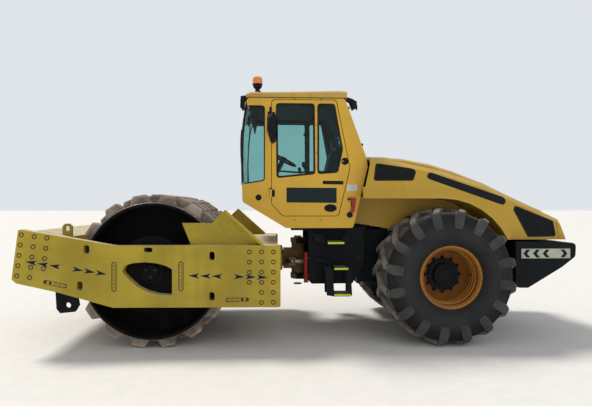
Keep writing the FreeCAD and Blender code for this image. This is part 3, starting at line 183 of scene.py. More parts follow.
def rubber(name):
    """Tyre rubber: dark walls with dusty patches, darker towards the bead, painted shade on the shoulders
    between the lugs, and dry soil on the lugs, by the distance from the axle.
    """
    t = Tree(name)
    radius = t.radius(WHEEL)
    bead, shoulder, tread = (0.52, 0.36), (0.56, 0.66), (0.725, 0.775)
    base = t.mix(t.span(t.noise(3, 6), 0.35, 0.65), (0.010, 0.0105, 0.012), (0.021, 0.022, 0.0235))
    patches = t.span(t.noise(10, 9, rough=0.75), 0.42, 0.64)
    base = t.mix(t.times(patches, 0.22), base, (0.074, 0.072, 0.071))
    base = t.mix(t.span(radius, *bead, 0.0, 0.6), base, (0.006, 0.0065, 0.007))
    # Painted shade: the wall's shoulder, between the lugs, is made darker.
    base = t.mix(t.span(radius, *shoulder, 0.0, 0.65), base, (0.005, 0.0053, 0.006))
    soil = t.times(t.span(radius, *tread), t.span(t.noise(11, 8, rough=0.65), 0.15, 0.55))
    base = t.mix(t.times(soil, 0.9), base, (0.26, 0.235, 0.21))
    t.set(Base_Color=base, Roughness=t.span(patches, 0, 1, 0.62, 0.9), Specular_IOR_Level=0.25)
    rings = t.times(t.math("SINE", t.times(radius, 260)), t.span(radius, 0.70, 0.68))
    fine = t.math("ADD", t.times(rings, 0.0002), t.times(t.noise(60, 5), 0.0016))
    from_middle = t.math("SUBTRACT", t.math("MINIMUM", radius, 0.72), 0.55)
    bulge = t.times(t.times(from_middle, from_middle), -0.9)
    t.bump(t.math("ADD", fine, bulge), 1.0, 1.0)
    return t.material


def soil_steel(name):
    """Drum steel: rubbed bright in places and caked with dry soil, with painted shade between the pads and a
    painted highlight on the pad tops.
    """
    t = Tree(name)
    radius = t.radius(DRUM)
    between, pads = (0.80, 0.785), (0.835, 0.872)
    base = t.mix(t.span(t.noise(5, 8, rough=0.65), 0.35, 0.65), (0.13, 0.10, 0.08), (0.33, 0.265, 0.21))
    rub = t.span(t.noise(16, 6), 0.56, 0.66)
    base = t.mix(t.times(rub, 0.6), base, (0.16, 0.14, 0.13))
    base = t.mix(t.span(t.noise(38, 4), 0.6, 0.7, 0, 0.5), base, (0.45, 0.37, 0.29))
    # Painted shade between the pads, by the distance from the drum's axis.
    base = t.mix(t.span(radius, *between, 0, 0.55), base, (0.075, 0.058, 0.047))
    # Painted highlight on the pad tops.
    base = t.mix(t.span(radius, *pads, 0, 0.45), base, (0.50, 0.42, 0.36))
    t.set(Base_Color=base, Roughness=t.span(rub, 0, 1, 0.9, 0.55), Metallic=0.15)
    t.bump(t.math("ADD", t.noise(28, 9, rough=0.7), t.noise(6, 4)), 0.55, 0.012)
    return t.material


def glass(name, colour, rough=0.0):
    """Tinted glass with faint smears."""
    t = Tree(name)
    smears = t.span(t.noise(3.5, 7, rough=0.7), 0.45, 0.75)
    t.set(Base_Color=t.mix(t.times(smears, 0.25), colour, tinted(colour, 0.8)),
          Roughness=t.span(smears, 0, 1, rough, rough + 0.06), Transmission_Weight=1.0, IOR=1.3)
    return t.material


def waves(t, letters, reach, absolute=False):
    """Sine waves along the named axes: their product, or the lowest of their sizes."""
    woven = None
    for letter in letters:
        wave = t.math("SINE", t.times(t.axis("Object", letter), reach))
        wave = t.math("ABSOLUTE", wave) if absolute else wave
        woven = wave if woven is None else t.math("MINIMUM" if absolute else "MULTIPLY", woven, wave)
    return woven


def fabric(name, colour):
    """Woven seat cloth: fine crossed ribs."""
    t = Tree(name)
    weave = waves(t, "XYZ", 1400)
    t.set(Base_Color=t.mix(t.span(weave, -0.6, 0.6), tinted(colour, 0.6), tinted(colour, 1.5)),
          Roughness=0.95, Sheen_Weight=0.3)
    t.bump(weave, 0.3, 0.0008)
    return t.material


def wire_mesh(name, colour, pitch):
    """Woven wire: bright crossings, and painted shade in the holes between them, drawn near-black at a fixed
    pitch.
    """
    t = Tree(name)
    shaded_holes = t.span(waves(t, "YZ", math.pi / pitch, absolute=True), 0.35, 0.6)
    # The holes are painted near-black: painted shade behind the wire.
    t.set(Base_Color=t.mix(shaded_holes, colour, (0.001, 0.001, 0.001)), Roughness=t.span(shaded_holes, 0, 1, 0.4, 0.95))
    t.bump(t.math("SUBTRACT", 1.0, shaded_holes), 0.6, 0.003)
    return t.material


CAB_PAINT = dict(dust=0.025, tint=0.05, streaks=0.12, grain=0.06, coat=0.10, shine=0.28, top=0.3)
M = {
    "frame": surface("FramePaint", (0.395, 0.297, 0.025), 0.5, low_dust=0.05, chips=RUST, top=0.75),
    "body": surface("BodyPaint", (0.635, 0.378, 0.036), 0.38, **CAB_PAINT),
    "hood": surface("HoodPaint", (0.48, 0.302, 0.030), 0.38, **CAB_PAINT),
    "roof": surface("RoofPaint", (0.49, 0.325, 0.066), tint=0.08, streaks=0.3, grain=0.06, top=0.35),
    "joint": surface("JointPaint", (0.24, 0.165, 0.035), 0.6, dust=0.45, low_dust=0.3, chips=RUST, tint=0.25,
                     shine=0.3),
    "rim": surface("RimPaint", (0.36, 0.135, 0.006), dust=0.03, low_dust=0.04, chips=RUST, shine=0.35),
    # A darker copy of the rim paint: painted shade in the rim's well.
    "rim_shaded": surface("RimPaintShaded", (0.20, 0.072, 0.004), 0.55, dust=0.03, low_dust=0.04, chips=RUST),
    "dark": surface("ChassisPaint", (0.004, 0.0068, 0.0098), 0.55, dust=0.008, low_dust=0.015, tint=0.2,
                    streaks=0.1, shine=0.12),
    # Near-black paint of the drum's discs and carriers, also used as painted shade on the shell's inner
    # wall.
    "pit": surface("DrumInside", (0.0035, 0.0042, 0.005), 0.8, dust=0.0, low_dust=0.03, streaks=0.0,
                   shine=0.12),
    "steel": surface("WornSteel", (0.34, 0.32, 0.30), 0.32, metal=0.9, dust=0.12, low_dust=0.3, shine=0.5),
    "weld": surface("PlugWeld", (0.060, 0.034, 0.012), 0.7, low_dust=0.05, shine=0.3),
    "soil": soil_steel("DrumSteel"),
    "tyre": rubber("TyreRubber"),
    "lug": surface("TyreLugs", (0.036, 0.0375, 0.039), 0.6, dust=0.07, tint=0.3, grain=0.7, shine=0.35),
    "glass": glass("TintedGlass", (0.47, 0.70, 0.68)),
    # Paler blue glass for the rear screen: its tint is a painted sky reflection.
    "painted_sky_glass": glass("RearGlass", (0.62, 0.76, 0.86)),
    "black": plain("BlackPlastic", (0.0065, 0.008, 0.010), grain=0.25, shine=0.14),
    "gloss": plain("BlackSheet", (0.006, 0.008, 0.011), 0.4, grain=0.02, shine=0.16),
    "seal": plain("RubberSeal", (0.008, 0.008, 0.009), 0.6, shine=0.25),
    "trim": plain("CabTrim", (0.035, 0.040, 0.044), 0.8, grain=0.4, scale=300, shine=0.3),
    "orange": plain("BeaconLens", (0.78, 0.19, 0.018), 0.18, grain=0.0, coat=0.5),
    "red": surface("RedPaint", (0.34, 0.018, 0.012), dust=0.08, low_dust=0.1, shine=0.35),
    "lens": plain("LampLens", (0.62, 0.66, 0.68), 0.08, grain=0.0, coat=1.0),
    "tail": plain("TailLens", (0.42, 0.012, 0.010), 0.15, grain=0.0, coat=0.8),
    "mirror": plain("MirrorGlass", (0.75, 0.78, 0.80), 0.04, metal=1.0, grain=0.0, tint=0.02),
    "neon": plain("StepEdge", (0.47, 0.62, 0.02), grain=0.2),
    "sign": plain("SignGround", (0.40, 0.44, 0.34)),
    "pale": plain("PaleLabel", (0.50, 0.53, 0.56), 0.4),
    "teal": plain("DarkPlate", (0.006, 0.015, 0.020), 0.4, grain=0.02, shine=0.2),
    "seat": fabric("SeatCloth", (0.018, 0.019, 0.022)),
    "cast": surface("CastIron", (0.012, 0.013, 0.014), 0.7, dust=0.06, low_dust=0.05, grain=0.5),
    "engine": surface("EnginePaint", (0.070, 0.076, 0.078), 0.5, dust=0.12, low_dust=0.1, grain=0.4,
                      shine=0.5),
    "grip": surface("GripPlate", (0.045, 0.046, 0.046), 0.75, dust=0.25, low_dust=0.1, grain=0.5, shine=0.3),
    "grey": plain("ArrowGround", (0.20, 0.20, 0.17), 0.6),
    "mesh": wire_mesh("GrilleMesh", (0.016, 0.018, 0.020), 0.009),
}


# CAD nodes: soft edges, and materials by place on the node

def dress(node, *names, rule=None, width=0.003):
    """Gives a CAD node, or its left and right ones, materials by a rule from a face's middle and normal,
    and rounds the edges."""
    for name in [node] if node in NODES else [f"{node}_{side}" for side in SIDES]:
        obj = NODES[name]
        mesh = obj.data
        mesh.materials.clear()
        for material in names:
            mesh.materials.append(M[material])
        if "custom_normal" in mesh.attributes:
            mesh.attributes.remove(mesh.attributes["custom_normal"])
        for face in mesh.polygons:
            face.use_smooth = width > 0
            face.material_index = rule(face.center, face.normal) if rule else 0
        if width:
            obj.modifiers.new("Weld", "WELD").merge_threshold = 0.00002
            bevel(obj, width)


def bevel(obj, width, angle=32):
    edge = obj.modifiers.new("Bevel", "BEVEL")
    edge.width = width
    edge.segments = 2
    edge.limit_method = "ANGLE"
    edge.angle_limit = math.radians(angle)
    edge.harden_normals = True
    edge.use_clamp_overlap = True


def radius_from(axis, point):
    return math.hypot(point.x - axis.x, point.z - axis.z)


def drum_rule(centre, normal):
    """The drum's inner wall is painted shade in the near-black of the drum's discs, and the drum is worn
    bright at its two edges.
    """
    inner, edge = 0.775, 0.79
    if radius_from(DRUM, centre) < inner:
        return 1
    return 2 if abs(normal.y) > 0.9 and radius_from(DRUM, centre) < edge else 0


def rim_rule(centre, normal):
    # Faces inside the well get the darker rim paint, as painted shade.
    well = 0.345
    return 1 if radius_from(WHEEL, centre) < well else 0


def inner_side(centre, normal):
    return 1 if abs(normal.y) > 0.5 and normal.y * centre.y < 0 else 0


def cab_wall_rule(centre, normal):
    """The inner faces of the cab's walls are trim, and the strip before the quarter glass is glass too."""
    sill = 0.54
    if centre.x > CAB_X - 0.01 and centre.z > CAB_LOW + sill:
        return 2
    return inner_side(centre, normal) if abs(centre.y) < CAB_HALF - 0.03 else 0


PLAIN_NODES = {
    "frame": ("side_beam", "front_crossbeam", "rear_crossbeam"),
    "dark": ("tow_bracket", "hub", "steps", "scraper_front", "scraper_rear", "rear_axle", "hood_hinge"),
    "pit": ("drum_carrier", "drum_disc"),
    "joint": ("steer_barrel", "centre_joint"),
    "steel": ("steer_rod", "centre_pin"),
    "black": ("work_lamps", "steering_console"),
    "red": ("lock_bar",),
    "hood": ("hood_shell",),
    "orange": ("beacon",),
    "seat": ("seat",),
}
for name, nodes in PLAIN_NODES.items():
    for node in nodes:
        dress(node, name)
dress("guard", "frame", width=0)
dress("tyre", "tyre", width=0.005)
dress("rim", "rim", "rim_shaded", rule=rim_rule)
dress("cab_wall", "body", "trim", "glass", rule=cab_wall_rule)
dress("door", "body", "trim", "seal", rule=inner_side)
dress("door_glass", "glass", width=0.001)
dress("hood_grille", "black", width=0.001)
dress("mirror", "black", width=0.01)
dress("drum_shell", "soil", "pit", "steel", rule=drum_rule, width=0.008)
dress("rear_frame", "dark", "joint", rule=lambda c, n: c.x > -0.05 and abs(c.y) < 0.2)
dress("engine_block", "engine", width=0.02)
dress("counterweight", "dark", width=0.012)
dress("cab_floor", "body", "trim", rule=lambda c, n: n.z > 0.5)
dress("cab_nose", "body", "trim", rule=lambda c, n: n.z > 0.3 and c.x < CAB_X)
dress("cab_back", "body", "trim", rule=lambda c, n: n.x > 0.3)
dress("cab_roof", "roof", "trim", rule=lambda c, n: n.z < -0.5, width=0.012)
# The rear screen gets the paler blue glass, a painted sky reflection.
dress("cab_glass", "glass", "painted_sky_glass", rule=lambda c, n: c.x < -0.4, width=0.001)


# Pieces built on the frame

class Piece:
    """Gathers closed forms into one mesh that rides a body. A right piece is the mirror of the left one."""

    def __init__(self, name, body="rear", slot="black_plastic", side=None):
        self.name, self.body, self.slot = (f"{name}_{side}" if side else name), body, slot
        self.sign = SIDES.get(side, 1)
        self.mesh = bmesh.new()
        self.materials = []

    def skin(self, sections, material, closed=False):
        """Walls through sections with the same number of points, with the two ends capped."""
        if material not in self.materials:
            self.materials.append(material)
        index = self.materials.index(material)
        rings = [[self.mesh.verts.new((x, y * self.sign, z)) for x, y, z in ring] for ring in sections]
        pairs = list(zip(rings, rings[1:]))
        faces = [] if closed else [rings[0], rings[-1]]
        if closed:
            pairs.append((rings[-1], rings[0]))
        for a, b in pairs:
            for i in range(len(a)):
                j = (i + 1) % len(a)
                faces.append([a[i], a[j], b[j], b[i]])
        for corners in faces:
            self.mesh.faces.new(corners).material_index = index

    def prism(self, loop, low, high, material, axis="Y"):
        """An outline between two levels: X-Z points for axis Y, Y-Z for axis X and X-Y for axis Z."""
        self.skin([place(loop, level, axis) for level in (low, high)], material)

    def box(self, x, y, z, material):
        """A block over three ranges."""
        self.prism(oblong(x, y), *z, material, "Z")

    def band(self, outer, inner, low, high, material, axis="Y"):
        """A flat frame between two outlines with the same number of points."""
        corners = ((outer, low), (outer, high), (inner, high), (inner, low))
        levels = [place(loop, level, axis) for loop, level in corners]
        self.skin(list(zip(*levels)), material, closed=True)

    def turned(self, profile, start, material, steps=24, along=OUT):
        """A turned form: (radius, height) points from a start point along a direction."""
        u, v, w = axes(along)
        base = Vector(start)
        rings = []
        for radius, height in profile:
            rings.append([base + w * height + (u * math.cos(a) + v * math.sin(a)) * max(radius, 0.0002)
                          for a in turns(steps)])
        self.skin(rings, material)

    def ring(self, centre, radius, thick, material, steps=24, sides=8, along=OUT):
        """A round ring, such as a weld bead or a trim ring."""
        u, v, w = axes(along)
        sections = []
        for turn in turns(steps):
            out = u * math.cos(turn) + v * math.sin(turn)
            sections.append([Vector(centre) + out * (radius + thick * math.cos(a)) + w * thick * math.sin(a)
                             for a in turns(sides)])
        self.skin(sections, material, closed=True)

    def tube(self, points, radius, material, sides=10, closed=False):
        """A round bar or bead along a line of points."""
        points = [Vector(p) for p in points]
        count = len(points)
        up = None
        sections = []
        for i, spot in enumerate(points):
            before = points[i - 1] if closed or i else spot
            after = points[(i + 1) % count] if closed or i < count - 1 else spot
            along = (after - before).normalized()
            up = axes(along)[0] if up is None else (up - along * up.dot(along)).normalized()
            across = along.cross(up)
            ring = [spot + (up * math.cos(a) + across * math.sin(a)) * radius for a in turns(sides)]
            sections.append(ring)
        self.skin(sections, material, closed=closed)

    def bolt(self, start, radius, material="steel", along=OUT):
        """A hexagon head on a washer."""
        washer, head = 1.5 * radius, radius
        self.turned([(washer, -0.001), (washer, 0.18 * radius), (0.9 * radius, 0.2 * radius)], start,
                    material, 18, along=along)
        self.turned([(head, 0.1 * radius), (head, 0.8 * radius), (0.85 * radius, radius)], start, material,
                    6, along=along)

    def done(self, width=0.0015, angle=32):
        """Makes the object, with its edges rounded by a width."""
        bmesh.ops.recalc_face_normals(self.mesh, faces=self.mesh.faces)
        data = bpy.data.meshes.new(self.name)
        self.mesh.to_mesh(data)
        self.mesh.free()
        obj = bpy.data.objects.new(self.name, data)
        bpy.context.scene.collection.objects.link(obj)
        for name in self.materials:
            data.materials.append(M[name])
        for face in data.polygons:
            face.use_smooth = width > 0
        if width:
            bevel(obj, width, angle)
        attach(obj, self.body)
        return obj


def place(loop, level, axis):
    order = {"X": (2, 0, 1), "Y": (0, 2, 1), "Z": (0, 1, 2)}[axis]
    return [tuple((u, v, level)[k] for k in order) for u, v in loop]


def axes(along):
    """Two directions square to a direction, and the direction itself."""
    w = Vector(along).normalized()
    u = w.orthogonal().normalized()
    return u, w.cross(u), w


def turns(count, start=0.0):
    """Even turns around a circle, from a share of one step."""
    return [2 * math.pi * (k + start) / count for k in range(count)]


def circle(centre, y, radius, count, start=0.0):
    """Even places around a centre, at a level on the Y axis."""
    x, _, z = centre
    return [(x + radius * math.cos(a), y, z + radius * math.sin(a)) for a in turns(count, start)]


def grown(loop, reach):
    """The outline moved outwards by a reach, or inwards where it is negative."""
    area = sum(a[0] * b[1] - b[0] * a[1] for a, b in zip(loop, loop[1:] + loop[:1]))
    turn = 1 if area > 0 else -1
    moved = []
    for i, corner in enumerate(Vector(p) for p in loop):
        back = corner - Vector(loop[i - 1])
        ahead = Vector(loop[(i + 1) % len(loop)]) - corner
        a = Vector((back.y, -back.x)).normalized() * turn
        b = Vector((ahead.y, -ahead.x)).normalized() * turn
        mid = (a + b).normalized()
        moved.append(tuple(corner + mid * (reach / max(0.35, mid.dot(a)))))
    return moved


def smooth(loop, radius, steps=4):
    """The outline with each corner drawn as a short curve, by the same rule as the CAD source."""
    line = []
    for i, corner in enumerate(Vector(p) for p in loop):
        back = Vector(loop[i - 1]) - corner
        ahead = Vector(loop[(i + 1) % len(loop)]) - corner
        reach = min(radius / math.tan(back.angle(ahead) / 2), 0.45 * back.length, 0.45 * ahead.length)
        start = corner + back.normalized() * reach
        end = corner + ahead.normalized() * reach
        for k in range(steps + 1):
            f = k / steps
            line.append(tuple(start * (1 - f) ** 2 + corner * 2 * f * (1 - f) + end * f ** 2))
    return line


def oblong(x, z):
    """A rectangle's outline over two ranges."""
    return [(x[0], z[0]), (x[1], z[0]), (x[1], z[1]), (x[0], z[1])]


def stadium(a, b, half, steps=8):
    """A long round-ended outline between two points."""
    a, b = Vector(a), Vector(b)
    start = math.atan2(b.y - a.y, b.x - a.x)
    loop = []
    for centre, first in ((b, start - math.pi / 2), (a, start + math.pi / 2)):
        for k in range(steps + 1):
            turn = first + math.pi * k / steps
            loop.append((centre.x + half * math.cos(turn), centre.y + half * math.sin(turn)))
    return loop


# Front frame

WELD_PITCH = 0.112
GRID_REAR = [(x, z) for x, rows in ((0.650, 4), (0.516, 6), (0.382, 6))
             for z in (1.108, 0.995, 0.881, 0.768, 0.655, 0.543)[:rows]]
GRID_FRONT = [(x + dx * k, z - WELD_PITCH * k) for x, z, dx, rows in (
    (3.136, 1.307, 0.012, 5), (2.999, 1.288, 0.012, 5), (2.863, 1.271, 0.012, 4)) for k in range(rows)]
LONG_SLOTS = [((2.139, 0.705), (2.139, 0.979)), ((1.409, 0.705), (1.409, 0.979))]
SHORT_SLOTS = [((2.878, 0.790), (2.670, 0.743)), ((0.677, 0.577), (0.890, 0.575))]
ARROWS = [((3.098, 1.016), (2.211, 0.868)), ((1.332, 0.848), (0.443, 0.823))]


def beam_welds(side):
    """Round plug welds in grids, and rows of welds inside long beads."""
    welds = Piece("beam_welds", "front", "frame_yellow", side)
    button = [(0.016, -0.004), (0.0155, 0.0006), (0.008, 0.0012)]
    for x, z in GRID_REAR + GRID_FRONT:
        welds.ring((x, HALF - 0.0040, z), 0.0215, 0.0074, "weld")
        welds.turned(button, (x, HALF, z), "frame", 16)
    y = HALF - 0.003
    for slots, half, beads, open_holes in ((LONG_SLOTS, 0.026, 8, 0), (SHORT_SLOTS, 0.021, 5, 2)):
        for start, end in slots:
            a, b = Vector(start), Vector(end)
            welds.tube([(x, y, z) for x, z in stadium(a, b, half)], 0.0048, "weld", 8, closed=True)
            for k in range(beads):
                x, z = a.lerp(b, k / (beads - 1))
                welds.ring((x, y, z), half * 0.70, 0.0040, "weld")
                # The first discs in the short slots are black sheet: painted shade of open holes through the
                # beam.
                welds.turned([(half * 0.6, -0.004), (half * 0.55, 0.0006), (0.005, 0.0012)], (x, HALF, z),
                             "gloss" if k < open_holes else "frame", 14)
    welds.done(0)


def guard_bend(side):
    """The bent plate between the guard's web and its flange."""
    lip = Piece("guard_bend", "front", "frame_yellow", side)
    crease = Vector((1.020, 1.482)), Vector((0.688, 1.186))
    edge = Vector((0.924, 1.574)), Vector((0.503, 1.200))
    web, rise, plate = 1.1005, 0.088, 0.010
    out = [web + rise * (f / 6) ** 1.6 for f in range(7)]
    rings = []
    for k in range(9):
        inner, outer = crease[0].lerp(crease[1], k / 8), edge[0].lerp(edge[1], k / 8)
        bow = [inner.lerp(outer, f / 6) for f in range(7)]
        line = list(zip(bow, out))
        back = [(p.x + 0.004, max(1.1, y - plate), p.y + 0.004) for p, y in reversed(line)]
        rings.append([(p.x, y, p.y) for p, y in line] + back)
    lip.skin(rings, "frame")
    lip.done(0.0015, 60)


def beam_arrows(side):
    """Two rows of six arrows that point away from a bare place in the middle."""
    arrows = Piece("beam_arrows", "front", "frame_yellow", side)
    count, half = 7, 0.030
    for start, end in ARROWS:
        a, b = Vector(start), Vector(end)
        along = (b - a) / count
        up = Vector((-along.y, along.x)).normalized() * half
        for k in range(count):
            if k == count // 2:
                continue
            tip, tail = a + along * k, a + along * (k + 1)
            if k > count // 2:
                tip, tail = tail, tip
            middle = tip.lerp(tail, 0.5)
            corners = (tip, tail + up, tip.lerp(tail, 0.78), tail - up)
            for scale, high, material in ((1.06, 0.0002, "grey"), (0.95, 0.0003, "gloss")):
                loop = [middle + (p - middle) * scale for p in corners]
                arrows.prism(loop, HALF - 0.001, HALF + high, material)
    arrows.done(0)


def drum_details(side):
    """Bolts and plugs on the drum's discs and carriers, and the weld between disc and shell."""
    face, rim, bolt_circle, plug_circle = 0.715, 1.0635, 0.46, 0.61
    disc = Piece("drum_bolts", "drum", "dark_paint", side)
    for spot in circle(DRUM, face, bolt_circle, 16):
        disc.bolt(spot, 0.014, "pit")
    disc.ring((DRUM.x, face + 0.002, DRUM.z), 0.741, 0.010, "pit", 96)
    disc.ring((DRUM.x, rim, DRUM.z), 0.7775, 0.0028, "steel", 96, 6)
    for a in (0.6, 2.7, 4.8):
        plug = (DRUM.x + plug_circle * math.cos(a), face, DRUM.z + plug_circle * math.sin(a))
        disc.turned([(0.055, -0.002), (0.055, 0.014), (0.035, 0.018), (0.035, 0.03),
                     (0.03, 0.034)], plug, "pit")
    disc.done()
    carrier = Piece("carrier_bolts", "front", "dark_paint", side)
    plate, hub = 1.08, 1.14
    for spot in circle(DRUM, plate, 0.335, 12, 0.5):
        carrier.bolt(spot, 0.013, "pit")
    carrier.turned([(0.145, -0.002), (0.145, 0.02), (0.13, 0.028), (0.09, 0.03), (0.085, 0.06),
                    (0.07, 0.065)], (DRUM.x, plate, DRUM.z), "pit", 40)
    for dx, dz in ((-0.05, 0.03), (0.05, 0.03), (0.0, -0.05)):
        carrier.turned([(0.017, 0.0), (0.017, 0.03), (0.012, 0.034)], (DRUM.x + dx, hub, DRUM.z + dz),
                       "cast", 6)
    carrier.done()


# Rear frame, steering and steps

PIN = Vector((0.045, 0, 0))
BARREL_PIN = Vector((-0.62, 0.23, 0.9))


def joint_details():
    """Caps and bolts of the steering pin, the cylinders' pins and the rear crossbeam's bearing."""
    caps = Piece("pin_caps", "rear", "dark_paint")
    for z, up in ((1.205, 1), (0.575, -1)):
        along = (0, 0, up)
        caps.turned([(0.058, 0.0), (0.058, 0.008), (0.05, 0.012), (0.02, 0.012)], (PIN.x, 0, z), "joint", 32,
                    along=along)
        for a in turns(4, 0.5):
            caps.bolt((PIN.x + 0.04 * math.cos(a), 0.04 * math.sin(a), z + 0.011 * up), 0.007, along=along)
    for y in (BARREL_PIN.y, -BARREL_PIN.y):
        caps.turned([(0.034, 0.0), (0.034, 0.006), (0.026, 0.008)], (BARREL_PIN.x, y, 0.95), "steel",
                    along=UP)
    caps.done(0.001)
    bearing = Piece("bearing_bolts", "front", "frame_yellow")
    face, radius = 0.26, 0.145
    for a in turns(12):
        spot = (face, radius * math.cos(a), SWING_Z + radius * math.sin(a))
        bearing.bolt(spot, 0.009, "cast", along=REAR)
    bearing.done()
    for side in SIDES:
        eyes = Piece("cylinder_eyes", "centre", "steel", side)
        eyes.turned([(0.030, 0.0), (0.030, 0.006), (0.022, 0.009)], (0.13, 0.26, 0.9505), "steel", along=UP)
        eyes.done(0.001)
        gland = Piece("cylinder_gland", f"barrel_{side}", "dark_paint", side)
        lean, barrel = Vector((0.75, 0.03, 0)).normalized(), 0.5
        gland.turned([(0.049, -0.045), (0.0535, -0.043), (0.0535, -0.006), (0.049, -0.002), (0.036, 0.0)],
                     BARREL_PIN + lean * barrel, "joint", 32, along=lean)
        for reach in (0.09, 0.40):
            gland.turned([(0.013, 0.042), (0.013, 0.062), (0.009, 0.066)], BARREL_PIN + lean * reach,
                         "steel", 6, along=UP)
        gland.done(0.001)


STEP_SIDES = (0.665, 0.865)
TREADS = ((-0.464, -0.268, 1.193), (-0.513, -0.345, 0.885), (-0.541, -0.345, 0.573))


def step_details(side):
    """Grip plates with raised teeth and neon edges on the treads."""
    grip = Piece("step_treads", "rear", "dark_paint", side)
    teeth, face, first, pitch = 4, (0.8795, 0.883), 0.69, 0.05
    for back, front, z in TREADS:
        grip.box((back + 0.012, front - 0.012), STEP_SIDES, (z - 0.002, z + 0.004), "grip")
        for i in range(teeth):
            for j in range(teeth):
                x = back + (front - back) * (i + 0.5) / teeth
                grip.ring((x, first + pitch * j, z + 0.004), 0.012, 0.003, "grip", 14, 6, along=UP)
        grip.prism(oblong((back, front), (z - 0.001, z - 0.024)), *face, "neon")
    grip.done(0.001)


def frame_sides(side):
    """The side panels' bolts and drain plug, and the cab's skirt and mounts above them."""
    panel, mount_y, mount_z = 0.57, 0.44, 1.3195
    fit = Piece("panel_bolts", "rear", "dark_paint", side)
    for x, z in ((-0.12, 1.27), (-0.12, 0.73), (-0.70, 1.27), (-0.70, 0.98), (-0.60, 0.73)):
        fit.bolt((x, panel, z), 0.011, "cast")
    fit.box((-0.60, 0.16), (0.528, 0.542), (1.318, 1.3565), "seal")
    for x in (-0.52, 0.08):
        fit.turned([(0.05, 0.0), (0.05, 0.010), (0.036, 0.014), (0.036, 0.022), (0.05, 0.026),
                    (0.05, 0.0355)], (x, mount_y, mount_z), "seal", 24, along=UP)
    fit.box((-0.82, -0.60), (0.10, 0.40), (1.315, 1.416), "seal")
    fit.turned([(0.036, -0.002), (0.036, 0.012), (0.028, 0.016), (0.028, 0.022), (0.022, 0.024)],
               (-0.21, panel, 0.76), "dark", 28)
    fit.done()


# Wheels

def wheel_details(side):
    """Nuts, hub cover and valve on the wheel, ridges in the rim and rings on the tyre's walls."""
    body = f"wheel_{side}"
    wheel = Piece("wheel_nuts", body, "dark_paint", side)
    for spot in circle(WHEEL, TYRE_Y + 0.02, 0.208, 12):
        for profile, steps in (([(0.021, -0.001), (0.021, 0.005), (0.012, 0.006)], 18),
                               ([(0.0155, 0.004), (0.0155, 0.024), (0.0125, 0.027)], 6),
                               ([(0.0085, 0.02), (0.0085, 0.042), (0.006, 0.045)], 12)):
            wheel.turned(profile, spot, "cast", steps)
    for spot in circle(WHEEL, TYRE_Y + 0.06, 0.160, 16, 0.5):
        wheel.bolt(spot, 0.009, "cast")
    face = TYRE_Y + 0.105
    wheel.turned([(0.118, -0.003), (0.116, 0.006), (0.088, 0.010), (0.084, 0.016), (0.02, 0.018)],
                 (WHEEL.x, face, WHEEL.z), "dark", 40)
    for spot in circle(WHEEL, face + 0.008, 0.101, 6):
        wheel.bolt(spot, 0.007, "cast")
    wheel.turned([(0.013, 0.0), (0.013, 0.010), (0.008, 0.012)], (WHEEL.x + 0.045, face + 0.016, WHEEL.z),
                 "cast", 6)
    stem = [(WHEEL.x - x, TYRE_Y + y, WHEEL.z) for x, y in ((0.315, 0.075), (0.300, 0.10), (0.292, 0.15))]
    wheel.tube(stem, 0.005, "steel", 8)
    wheel.turned([(0.008, 0.0), (0.008, 0.022), (0.005, 0.025)], (stem[-1][0], TYRE_Y + 0.145, WHEEL.z),
                 "black", 12)
    wheel.done(0.001)
    trim = Piece("rim_rings", body, "rim_orange", side)
    for y, radius, thick in ((0.10, 0.318, 0.009), (0.165, 0.319, 0.011), (0.235, 0.320, 0.013)):
        trim.ring((WHEEL.x, TYRE_Y + y, WHEEL.z), radius, thick, "rim", 72)
    trim.done(0)
    lip = Piece("tyre_rings", body, "tyre", side)
    for y, radius, thick in ((0.3545, 0.560, 0.0042), (0.3535, 0.600, 0.0042), (0.334, 0.402, 0.006)):
        for way in (1, -1):
            lip.ring((WHEEL.x, TYRE_Y + way * y, WHEEL.z), radius, thick, "tyre", 96, 6)
    lip.done(0)


def lug_ends(side):
    """The lugs carried over the tyre's shoulders and down its walls, where they thin out."""
    ends = Piece("lug_ends", f"wheel_{side}", "tyre", side)
    # Radius, lean and half width in degrees, and how far the lug and the wall under it lie inside the
    # tyre's side.
    stations = [(0.772, 12.9, 3.0, 0.022, 0.110), (0.755, 13.6, 3.6, 0.0100, 0.105),
                (0.730, 14.2, 4.2, 0.0030, 0.070), (0.695, 14.6, 4.8, 0.0006, 0.035),
                (0.650, 14.8, 5.2, 0.0004, 0.016), (0.605, 14.8, 5.2, 0.0004, 0.009),
                (0.575, 14.7, 4.6, 0.0010, 0.008), (0.558, 14.6, 3.2, 0.0022, 0.008)]
    for number in range(LUGS):
        for way in (1, -1):
            start = 360 / LUGS * (number + (0 if way > 0 else 0.5))
            sections = []
            for radius, lean, wide, top, foot in stations:
                section = []
                for turn, inset in ((-wide, foot), (wide, foot), (wide * 0.94, top), (-wide * 0.94, top)):
                    a = math.radians(start + lean + turn)
                    section.append((WHEEL.x + radius * math.sin(a), TYRE_Y + way * (TYRE_HALF - inset),
                                    WHEEL.z + radius * math.cos(a)))
                sections.append(section)
            ends.skin(sections, "lug")
    ends.done(0.005, 50)


# Counterweight

